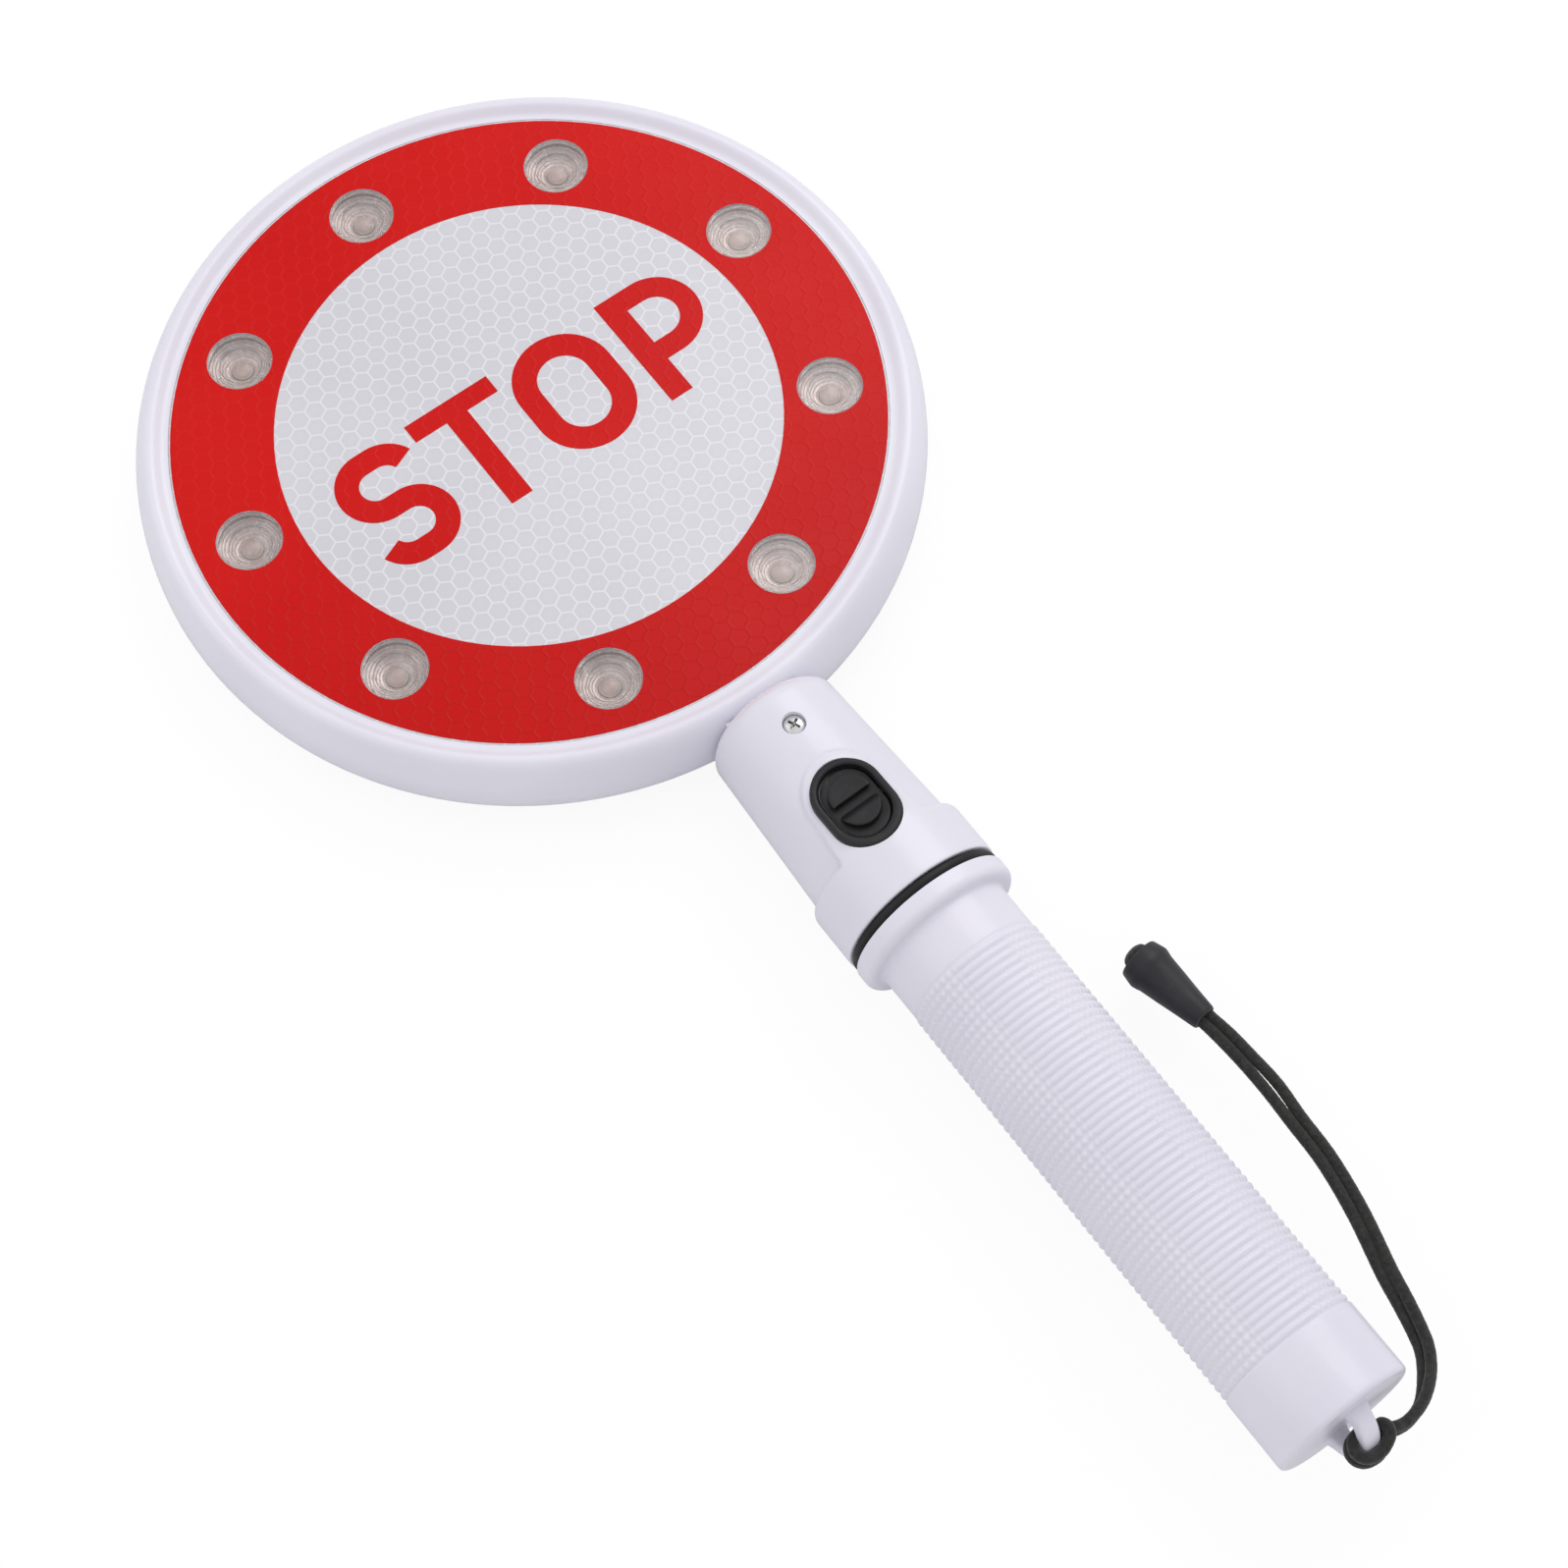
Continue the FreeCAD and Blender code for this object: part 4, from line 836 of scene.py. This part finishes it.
def add_thread(radius, y, angle, outer):
    """Winds the thread round the spigot."""
    start, pitch, turns, height = -151.3, 3.0, 2.5, 0.88
    fraction = (angle / TURN) % 1.0
    for n in range(-1, 4):
        turn = n + fraction
        offset = y - (start - pitch * turn)
        valid = outer & (turn >= 0) & (turn <= turns) & (y < -147.2) & (y > -160.0)
        ends = ease(np.minimum(turn, turns - turn) / 0.08)
        ridge = height * ease((0.85 - np.abs(offset)) / 0.4)
        radius = np.where(valid, np.maximum(radius, SPIGOT_R + ridge * ends), radius)
    return radius


def neck_shape():
    outline = neck_outline()
    profile = np.array(outline + NECK_BORE)
    # finer columns across the front
    angles = np.radians(np.r_[
        np.arange(-180, -42, 2.5), np.arange(-42, 42, 1.05), np.arange(42, 180, 2.5)])
    radius = np.repeat(profile[:, :1], len(angles), 1)
    y = np.repeat(profile[:, 1:2], len(angles), 1)
    angle = np.repeat(angles[None, :], len(profile), 0)
    outer = (np.arange(len(profile)) < len(outline))[:, None]
    radius = add_switch_land(radius, y, angle, outer)
    radius = add_thread(radius, y, angle, outer)
    rows = np.stack([radius * np.sin(angle), y, MID_Z + radius * np.cos(angle)], 2)
    return grid_shape(rows, "caps")


def saddle_shape():
    """The rim's section and the space behind it, swept round the disc across the neck."""
    rim_r, rim_z = rim_curve(np.radians(np.linspace(-90, 90, 41)), proud=0.06)
    back_r, step_r, reach = 70.0, 85.6, 30
    section = [(back_r, MID_Z - reach), (step_r, MID_Z - reach), (step_r, rim_z[0])]
    section += list(zip(rim_r, rim_z))
    section += [(step_r, rim_z[-1]), (step_r, MID_Z + reach), (back_r, MID_Z + reach)]
    section = np.array(section)
    angles = np.radians(np.linspace(-90 - 17, -90 + 17, 69))
    r = section[:, 0][None]
    rows = np.stack([
        r * np.cos(angles)[:, None], r * np.sin(angles)[:, None],
        np.repeat(section[:, 1][None], len(angles), 0)], 2)
    verts, faces = grid_shape(rows, "open")
    count = len(section)
    faces += [list(range(count))[::-1], [(len(angles) - 1) * count + i for i in range(count)]]
    return verts, faces


def neck_cutters():
    # profiles of (inset, z) in the switch's frame
    frame_pocket = stadium_shape(
        [(0.08, -1.7), (0.0, -1.6), (0.0, -0.3), (-0.06, 0.6), (-0.4, 12.0)],
        FRAME_HALF_W + FRAME_GAP, FRAME_HALF_L + FRAME_GAP)
    switch_hole = stadium_shape([(0.0, -30.0), (0.0, -1.0)], 7.1, 9.8)
    # profiles of (radius, z)
    screw_seat = lathe_z(
        [(2.56, 6.95), (2.56, 8.3), (2.6, 8.5), (2.9, 9.4), (3.2, 14.0)], 48, "caps")
    screw_hole = lathe_z([(1.6, 0.9), (1.6, 7.4)], 32, "caps")
    box = np.array([
        [x, y, z] for x in (-9.45, 9.45) for y in (-94.0, -80.0)
        for z in (MID_Z - 6.25, MID_Z + 6.25)])
    box_faces = [
        [0, 1, 3, 2], [4, 6, 7, 5], [0, 4, 5, 1], [2, 3, 7, 6], [0, 2, 6, 4], [1, 5, 7, 3]]

    def at_screw(verts):
        return verts + np.array([0, SCREW_Y, 0])

    shapes = {
        "cut_frame_pocket": moved(
            frame_pocket, lambda verts: switch_place(verts + np.append(FRAME_SHIFT, 0))),
        "cut_switch_hole": moved(switch_hole, switch_place),
        "cut_screw_seat": moved(screw_seat, at_screw),
        "cut_screw_hole": moved(screw_hole, at_screw),
        "cut_disc_end": (box, box_faces),
        "cut_rim_saddle": saddle_shape(),
    }
    return [mesh_object(name, shape, "white_neck") for name, shape in shapes.items()]


def build_neck():
    neck = mesh_object("neck_shell", neck_shape(), "white_neck")
    cutters = neck_cutters()
    for cutter in cutters:
        cut = neck.modifiers.new(cutter.name, "BOOLEAN")
        cut.operation = "DIFFERENCE"
        cut.solver = "EXACT"
        cut.object = cutter
    bpy.context.view_layer.update()
    graph = bpy.context.evaluated_depsgraph_get()
    mesh = bpy.data.meshes.new_from_object(neck.evaluated_get(graph))
    neck.modifiers.clear()
    neck.data = mesh
    bm = bmesh.new()
    bm.from_mesh(mesh)
    bmesh.ops.remove_doubles(bm, verts=bm.verts, dist=1e-6)
    bmesh.ops.dissolve_degenerate(bm, edges=bm.edges, dist=1e-6)
    bm.to_mesh(mesh)
    bm.free()
    finish_mesh(mesh, "white_neck", sharp=34)
    for cutter in cutters:
        bpy.data.objects.remove(cutter)
    attach(neck, "head", ("neck_housing",))
    welded("neck_screw", "neck_screw_head", "plated_steel", look="screw")


# ------------------------------------------------------------------ the switch
def build_switch_frame():
    width = 1.8
    # (distance in from the outer edge, z)
    profile = [(0.0, -1.67), (0.0, -0.45)]
    for t in range(12, 90, 13):
        a = math.radians(t)
        profile.append((0.75 - 0.75 * math.cos(a), -0.42 + 0.60 * math.sin(a)))
    profile += [
        (0.9, 0.19), (1.15, 0.17), (1.4, 0.07), (1.6, -0.1), (1.74, -0.34), (width, -0.62),
        (width, -1.67)]
    outer = stadium_ring(FRAME_HALF_W, FRAME_HALF_L) + FRAME_SHIFT
    inner = stadium_ring(6.3, 9.0)
    rows = np.array([at_height(outer + (inner - outer) * (d / width), z) for d, z in profile])
    piece("switch_frame", moved(grid_shape(rows), switch_place), "head", "black_plastic",
          sharp=40, replaces=("switch_bezel",), look="switch_frame")


def key_pad(upper):
    """Half-round pad with a rounded rim; the lower one slopes down to the groove between."""
    half_width, half_length = 4.8, 6.4
    top, rim_r = 0.45, 0.34
    edge = 1.0  # the straight edge's distance from the switch's middle
    corner, corner_mid = 0.45, 0.13
    arc_y = half_length - half_width
    side = np.linspace(arc_y, edge + corner, 5)
    points = arc(0, arc_y, half_width, 0, 180, 41)
    points += [(-half_width, y) for y in side[1:]]
    points += [(-half_width + corner_mid, edge + corner_mid), (-half_width + corner, edge)]
    straight = np.linspace(-half_width + corner, half_width - corner, 25)
    points += [(x, edge) for x in straight[1:-1]]
    points += [(half_width - corner, edge), (half_width - corner_mid, edge + corner_mid)]
    points += [(half_width, y) for y in side[:0:-1]]
    outline = np.array(points)
    centre = np.array([0.0, (arc_y + half_width + edge) / 2])
    # (inset, z)
    rim = [(0.0, -2.0), (0.0, -0.6), (0.0, top - rim_r)]
    for t in (25, 50, 72, 90):
        a = math.radians(t)
        rim.append((rim_r - rim_r * math.cos(a), top - rim_r + rim_r * math.sin(a)))
    inward = (centre - outline) / np.linalg.norm(centre - outline, axis=1)[:, None]
    rows = [at_height(outline + inward * d, z) for d, z in rim]
    base = rows[-1][:, :2]
    # a shallow dish over the top
    for s in np.linspace(0.12, 0.97, 9):
        dip = 0.10 * ease((s - 0.05) / 0.9)
        rows.append(at_height(base + (centre - base) * s, top - dip))
    rows = np.array(rows)
    if not upper:
        rows[:, :, 1] = -rows[:, :, 1]
        y, z = rows[:, :, 1], rows[:, :, 2]
        slope = np.maximum(-1.05 + 1.5 * ease((-0.5 - y) / 2.9), -1.3)
        rows[:, :, 2] = np.where(z > -1.6, np.minimum(z, slope), z)
    return grid_shape(rows, "caps")


def build_switch_key():
    # (inset, z)
    plate = [
        (0.5, -3.6), (0.05, -3.45), (0.0, -3.2), (0.0, -1.5), (0.08, -1.27), (0.3, -1.17),
        (0.7, -1.15), (1.3, -1.16), (2.2, -1.17), (3.4, -1.17), (4.6, -1.17)]
    # a round bar along X under the plate
    t = circle_angles(32)
    bar_r, bar_z = 2.3, -4.2
    bar = [np.column_stack([np.full(32, x), bar_r * np.cos(t), bar_z + bar_r * np.sin(t)])
           for x in (-4.7, 4.7)]
    shape = merge([
        stadium_shape(plate, 5.98, 8.68), key_pad(upper=True), key_pad(upper=False),
        grid_shape(np.array(bar), "caps")])
    piece("switch_key", moved(shape, switch_place), "rocker", "black_rocker", sharp=40,
          replaces=("switch_rocker",))


# ------------------------------------------------------------ seal and handle
BUTT_Y, FLOOR_Y = -285.9, -283.3  # outer and inner face of the handle's closed end


def build_seal():
    profile = [(15.2, -146.92), (18.3, -146.92)]
    profile += arc(17.95, -148.15, 1.23, 78, -78, 17)
    profile += [(18.3, -149.38), (15.2, -149.38)]
    piece("seal_ring", lathe_y(profile, 180), "head", "black_rubber", sharp=40,
          replaces=("sealing_ring",))


def grip_columns():
    """Angles round the handle, and how far each column stands on a bead, 0 to 1."""
    plain_count, bead_count = 32, 20
    plain_span = 44
    bead_step = (180 - plain_span) / bead_count
    angles, beads = [], []
    # plain strips at the front and the rear, beaded ones between
    for start in (-22, 158):
        end = start + plain_span
        angles += list(np.linspace(start, end, plain_count, endpoint=False))
        beads += [1.0] * plain_count
        for k in range(bead_count):
            for s in (0, 0.2, 0.4, 0.6, 0.8):
                angles.append(end + bead_step * (k + s))
                beads.append((0.5 - 0.5 * math.cos(TURN * s)) ** 0.7)
    return np.radians(np.array(angles)), np.array(beads)


def handle_outside():
    """Outer profile as (radius, y, ridge height), from the mouth to the butt's middle."""
    mouth = [(14.4, -150.0), (14.55, -149.55), (14.8, -149.4), (17.5, -149.4), (19.0, -149.4)]
    mouth += arc(19.1, -149.8, 0.4, 90, 0, 5)[1:]
    mouth += [(19.5, -151.0), (19.5, -152.0), (19.5, -152.3)]
    mouth += arc(17.6, -152.3, 1.9, 0, -90, 11)[1:] + [(17.2, -154.22), (16.9, -154.24)]
    mouth += arc(16.9, -155.14, 0.9, 90, 180, 7)[1:]
    mouth += [
        (15.98, -156.4), (15.95, -158.2), (15.93, -160.8), (15.93, -163.6), (15.93, -164.8),
        (15.9, -165.05), (15.82, -165.25)]
    grip_r, grip_start, grip_end = 15.72, -165.6, -268.0
    ridges, steps, ridge_height = 52, 6, 0.55
    pitch = (grip_start - grip_end) / ridges
    grip = []
    for k in range(ridges):
        for s in range(steps):
            t = s / steps
            rise = ridge_height * (0.5 - 0.5 * math.cos(TURN * t)) ** 0.6
            grip.append((grip_r, grip_start - pitch * (k + t), rise))
    butt = [
        (grip_r, grip_end), (15.9, -268.2), (16.12, -268.34), (16.22, -268.5),
        (16.25, -268.8), (16.25, -273.0), (16.25, -279.0), (16.25, -283.6), (16.25, -284.7)]
    butt += arc(15.05, -284.7, 1.2, 0, -90, 9)[1:]
    butt += [(r, BUTT_Y) for r in (12.5, 8.0, 3.0, 0.4)]
    return [(r, y, 0.0) for r, y in mouth] + grip + [(r, y, 0.0) for r, y in butt]


def build_handle():
    # (radius, y, ridge height), from the floor's middle back to the mouth
    inside = [
        (0.4, FLOOR_Y, 0.0), (8.0, FLOOR_Y, 0.0), (12.3, FLOOR_Y, 0.0), (13.2, -282.9, 0.0),
        (13.5, -282.0, 0.0), (13.5, -220.0, 0.0), (13.5, -160.6, 0.0), (14.4, -160.6, 0.0),
        (14.4, -154.5, 0.0)]
    angles, beads = grip_columns()

    def skin(profile):
        p = np.array(profile)
        radius = p[:, :1] + p[:, 2:3] * (0.28 + 0.72 * beads[None, :])
        return grid_shape(np.stack([
            radius * np.sin(angles)[None], np.repeat(p[:, 1:2], len(angles), 1),
            MID_Z + radius * np.cos(angles)[None]], 2), "open")

    outer, inner = skin(handle_outside()), skin(inside)
    verts, faces = merge([outer, inner])
    count = len(angles)
    floor_ring, total = len(outer[0]), len(verts)
    # join the two skins round the mouth and close both faces of the end
    faces += band(total - count, 0, count)
    j = np.arange(count)
    k = (j + 1) % count
    butt_ring = floor_ring - count
    faces += np.stack([butt_ring + j, butt_ring + k, np.full(count, total)], 1).tolist()
    faces += np.stack([floor_ring + k, floor_ring + j, np.full(count, total + 1)], 1).tolist()
    verts = np.vstack([verts, [[0, BUTT_Y, MID_Z]], [[0, FLOOR_Y, MID_Z]]])
    piece("handle_grip_tube", (verts, faces), "handle", "white_grip", sharp=62,
          replaces=("handle_tube",))


# ------------------------------------------------------------- the lanyard eye
# The eye's own axes: across the strap (near X), along the handle, in the strap's plane (near Z)
EYE_TWIST = math.radians(12.0)
EYE_ACROSS = np.array([math.cos(EYE_TWIST), 0.0, -math.sin(EYE_TWIST)])
EYE_ALONG = np.array([0.0, 1.0, 0.0])
EYE_UP = np.array([math.sin(EYE_TWIST), 0.0, math.cos(EYE_TWIST)])


def bow(half_span, height):
    """Half span, centre offset and radius of an arc of this height over its chord."""
    radius = (half_span * half_span + height * height) / (2 * height)
    return half_span, radius - height, radius


def squared(value):
    """Pushes a sine or cosine outwards, to turn a circle into a rounded square."""
    return math.copysign(abs(value) ** 0.5, value)


def build_eye():
    """A half-round strap on the butt, thicker at its roots."""
    butt = np.array([0.0, BUTT_Y, MID_Z])
    outer, inner = bow(8.5, 8.0), bow(5.3, 4.9)
    half_width, steps = 2.3, 44
    rings = []
    for i in range(steps + 1):
        t = -90 + 180 * i / steps
        ends = []
        for half_span, offset, radius in (outer, inner):
            h = half_span * math.sin(math.radians(t))
            ends.append(np.array([h, math.sqrt(max(0, radius ** 2 - h ** 2)) - offset]))
        middle, half = (ends[0] + ends[1]) / 2, (ends[0] - ends[1]) / 2
        root = ease((abs(t) - 68) / 22)
        ring = []
        for q in circle_angles(36):
            across = squared(math.cos(q)) * (half_width + 0.5 * root)
            point = middle + half * (squared(math.sin(q)) * (1 + 0.18 * root))
            ring.append(butt + EYE_ACROSS * across + EYE_UP * point[0] - EYE_ALONG * point[1])
        rings.append(np.array(ring))
    # run both roots 1 mm into the butt
    rings = [rings[0] + EYE_ALONG] + rings + [rings[-1] + EYE_ALONG]
    piece("lanyard_eye", grid_shape(np.array(rings), "caps"), "handle", "white_grip", sharp=50)


# ------------------------------------------------------------------ the cord
CORD_R = 1.25
HITCH = np.array([0.0, -293.6, MID_Z])
HITCH_UP = 1.2  # the hitch's middle, along EYE_UP
# x, y, z midway between the two strands, from the hitch to the bell
CORD_PATH = np.array([
    (8.2, -293.1, -8.1), (10.4, -293.2, -8.7), (15.4, -291.9, -10.1), (20.5, -288.1, -11.7),
    (24.0, -283.6, -12.7), (25.6, -279.6, -13.4), (27.4, -273.4, -14.2), (29.0, -267.0, -15.0),
    (33.2, -252.5, -16.2), (35.6, -239.7, -16.8), (36.2, -229.5, -17.0), (36.8, -221.0, -17.0),
    (36.6, -213.0, -17.0), (36.2, -206.5, -17.0), (35.6, -201.6, -17.0), (35.1, -198.2, -17.0),
    (34.8, -195.4, -17.0)])
# across, along, and distance up or down from the hitch's middle, for each half of the hitch
HITCH_TURN = [
    (6.4, 0.9, 1.22), (4.8, 1.9, 1.2), (3.0, 3.5, 1.2), (0.6, 4.05, 1.2), (-1.8, 3.9, 1.2),
    (-3.5, 2.6, 1.2), (-3.95, 0.9, 1.2), (-2.9, -0.8, 1.2), (-0.8, -1.5, 1.22),
    (1.3, -1.4, 1.35), (2.8, -0.8, 1.9), (3.9, 0.0, 2.7), (4.4, 0.9, 3.1), (4.55, 1.9, 2.9),
    (4.55, 2.8, 2.0), (4.55, 3.1, 0.7)]


def hitch_half(side):
    return [HITCH + EYE_ACROSS * across + EYE_ALONG * along + EYE_UP * (HITCH_UP + side * up)
            for across, along, up in HITCH_TURN]


def cord_strands():
    """The two strands beside CORD_PATH: stacked at the hitch, side by side further on."""
    path_y = CORD_PATH[:, 1]
    ahead = np.gradient(CORD_PATH, axis=0)
    ahead /= np.linalg.norm(ahead, axis=1)[:, None]
    level = np.cross(ahead, [0, 0, 1.0])
    level /= np.linalg.norm(level, axis=1)[:, None]
    up = np.cross(level, ahead)
    twist = np.radians(np.interp(path_y, [-292.6, -289.0, -281, -264, -250], [88, 62, 48, 20, 4]))
    twist[:2] = np.radians(88)
    offset = level * np.cos(twist)[:, None] + up * np.sin(twist)[:, None]
    gap = 1.22 + 0.2 * np.exp(-((path_y + 221.0) / 6.5) ** 2) - 0.14 * ease((path_y + 204.0) / 3.0)
    upper, lower = CORD_PATH + offset * gap[:, None], CORD_PATH - offset * gap[:, None]
    if np.dot(upper[0] - CORD_PATH[0], EYE_UP) < 0:
        upper, lower = lower, upper
    return upper, lower


def build_cord():
    upper, lower = cord_strands()
    path = list(upper[::-1]) + hitch_half(1) + hitch_half(-1)[::-1] + list(lower)
    cord = mesh_object("wrist_cord", braided(path, CORD_R), "black_cord")
    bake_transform(cord)
    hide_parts("cord_hitch", "cord_near", "cord_far")


# ------------------------------------------------------- the bell and its knot
BELL_NARROW, BELL_WIDE = np.array([35.35, -200.4, -17.0]), np.array([32.7, -180.9, -17.0])
BELL_LENGTH = np.linalg.norm(BELL_WIDE - BELL_NARROW)


def bell_place(verts):
    """From the bell's frame, y running from its narrow end, to the object's."""
    axis = (BELL_WIDE - BELL_NARROW) / BELL_LENGTH
    side = np.cross(axis, [0, 0, 1.0])
    side /= np.linalg.norm(side)
    up = np.cross(side, axis)
    return BELL_NARROW + verts[:, :1] * side + verts[:, 1:2] * axis + verts[:, 2:3] * up


def build_bell():
    # (radius, y) near the narrow end, then (radius, distance back from the wide end)
    body = [
        (2.42, 0.05), (2.5, 0.0), (2.72, 0.06), (2.9, 0.22), (3.0, 0.5), (3.08, 0.9), (3.7, 5.4),
        (4.4, 10.0)]
    mouth = [
        (5.0, 5.3), (5.33, 4.2), (5.5, 3.5), (5.52, 3.1), (5.42, 2.5), (4.98, 0.5), (4.86, 0.15),
        (4.7, 0), (4.5, 0.02), (4.3, 0.2), (4.15, 0.8), (4.4, 3.2)]
    bore = [(3.4, 8.0), (2.7, 4.6), (2.4, 3.4), (2.4, 1.5)]
    profile = body + [(r, BELL_LENGTH - back) for r, back in mouth] + bore
    piece("cord_end_bell", moved(lathe_y(profile, 96, axis_z=0), bell_place), "lanyard_far",
          "black_plastic", sharp=34, replaces=("cord_bell",))


def build_knot():
    """A braided plug that fills the bell and stands domed out of its mouth."""
    steps, columns, start = 60, 64, 5.2
    braids, wave = 6, 2.2  # crossings round the knot, and their rate along it per mm
    stations = [start, 6.0, BELL_LENGTH - 5, BELL_LENGTH - 2.5, BELL_LENGTH - 0.5,
                BELL_LENGTH + 1.0]
    radii = [1.3, 2.1, 3.1, 3.3, 3.35, 3.0]
    a = circle_angles(columns)
    bulge = 0.22 * np.exp(-(((a - 2.2) % TURN - 0.3) / 0.5) ** 2)
    grooves = 0.25 * np.exp(-((np.mod(a, math.pi) - 1.2) / 0.16) ** 2)
    rings = []
    for i in range(steps + 1):
        y = start + (BELL_LENGTH + 2.3 - start) * (i / steps)
        r = np.interp(y, stations, radii)
        if y > BELL_LENGTH + 0.4:
            r = 3.1 * math.sqrt(max(0.0004, 1 - ((y - BELL_LENGTH - 0.4) / 1.92) ** 2))
        over = np.cos(braids * a) * math.cos(wave * y) > 0
        strands = 0.10 * np.where(
            over, np.abs(np.cos(braids * a + wave * y)), np.abs(np.cos(braids * a - wave * y)))
        relief = (strands + bulge - grooves) * min(1.0, r)
        radius = r + relief if r > 0.4 else np.full(columns, r)
        rings.append(np.column_stack([radius * np.sin(a), np.full(columns, y),
                                      radius * np.cos(a)]))
    shape = moved(grid_shape(np.array(rings), "caps"), bell_place)
    piece("cord_end_knot", shape, "lanyard_far", "black_cord", sharp=60,
          replaces=("cord_knot",))


# ----------------------------------------------------- CAD nodes shown as is
INSIDE = {
    "led_ring_board": "circuit_board", "led_resistors": "black_component",
    "switch_housing": "black_plastic", "rocker_pin": "bright_steel",
    "switch_terminals": "brass", "flasher_board": "circuit_board",
    "flasher_chips": "black_component", "contact_carrier": "black_plastic",
    "positive_contact": "brass", "negative_band": "bright_steel", "battery_wire": "wire_red",
    "switch_wire": "wire_red", "return_wire": "wire_black", "upper_cell": "cell_jacket",
    "upper_cell_cap": "bright_steel", "lower_cell": "cell_jacket",
    "lower_cell_cap": "bright_steel", "negative_strip": "bright_steel",
    "battery_spring": "bright_steel",
}


def dress_inside():
    for node, look in INSIDE.items():
        ob = NODES[node]
        ob.data.materials.clear()
        ob.data.materials.append(LOOKS[look])


# ------------------------------------------------------------------ the studio
FLOOR_HALF = 3.0  # m
FLOOR_DROP = 0.0002  # clearance under the object, m
# (y, z) in mm of two points on the sloping floor
FLOOR_LOW, FLOOR_HIGH = (-153.0, -26.6), (86.0, -16.8)


def floor_material():
    """Near-white, and mostly self-lit where the camera sees it."""
    material = empty_material("studio_floor_look")
    tree = material.node_tree
    diffuse = add_node(tree, "BsdfDiffuse", {"Color": (0.86, 0.86, 0.87, 1)})
    glow = add_node(tree, "Emission", {"Color": (1, 1, 1, 1), "Strength": 1.03})
    seen = add_node(tree, "LightPath").outputs["Is Camera Ray"]
    share = add_node(tree, "Math", {0: seen, 1: 0.88}, operation="MULTIPLY")
    mixed = add_node(tree, "MixShader", {
        0: share.outputs[0], 1: diffuse.outputs[0], 2: glow.outputs[0]})
    add_node(tree, "OutputMaterial", {0: mixed.outputs[0]})
    return material


def build_floor():
    slope = (FLOOR_HIGH[1] - FLOOR_LOW[1]) / (FLOOR_HIGH[0] - FLOOR_LOW[0])

    def corner(x, y):
        z = (FLOOR_LOW[1] + (y / MM - FLOOR_LOW[0]) * slope) * MM
        return x, y, z - FLOOR_DROP

    s = FLOOR_HALF
    mesh = bpy.data.meshes.new("studio_floor")
    corners = [corner(-s, -s), corner(s, -s), corner(s, s), corner(-s, s)]
    mesh.from_pydata(corners, [], [(0, 1, 2, 3)])
    floor = add_object("studio_floor", mesh)
    mesh.materials.append(floor_material())


def build_world():
    world = bpy.data.worlds.new("studio")
    scene.world = world
    world.use_nodes = True
    background = world.node_tree.nodes["Background"]
    feed(world.node_tree, background, {"Color": (0.97, 0.975, 1.0, 1), "Strength": 0.74})


def area_light(name, place, size, energy):
    """A round light aimed at the object."""
    target = Vector((0.0, -0.1, 0.0))
    light = bpy.data.lights.new(name, "AREA")
    light.shape = "DISK"
    light.size = size
    light.energy = energy
    ob = add_object(name, light)
    ob.location = place
    ob.rotation_mode = "QUATERNION"
    ob.rotation_quaternion = (target - Vector(place)).to_track_quat("-Z", "Y")


def build_camera():
    camera = bpy.data.cameras.new("camera")
    camera.lens = 77.83
    camera.sensor_width = 36.0
    camera.clip_start = 0.01
    camera.clip_end = 20.0
    ob = add_object("camera", camera)
    place = Vector((-0.17738, -0.36066, 0.66462))
    right = Vector((0.8036, -0.5948, -0.02107)).normalized()
    up = Vector((0.54821, 0.72595, 0.41529)).normalized()
    back = right.cross(up).normalized()
    up = back.cross(right).normalized()
    turn = Matrix((right, up, back)).transposed().to_4x4()
    ob.matrix_world = Matrix.Translation(place) @ turn
    scene.camera = ob


build_disc()
build_lamps()
build_neck()
build_switch_frame()
build_switch_key()
build_seal()
build_handle()
build_eye()
build_cord()
build_bell()
build_knot()
dress_inside()

build_floor()
build_world()
area_light("key_light", place=(0.75, 0.25, 1.05), size=1.1, energy=5.6)
area_light("fill_light", place=(-0.9, 0.5, 0.9), size=1.4, energy=1.9)
build_camera()
scene.view_settings.view_transform = "Standard"
scene.view_settings.look = "None"
scene.view_settings.exposure = 0.0
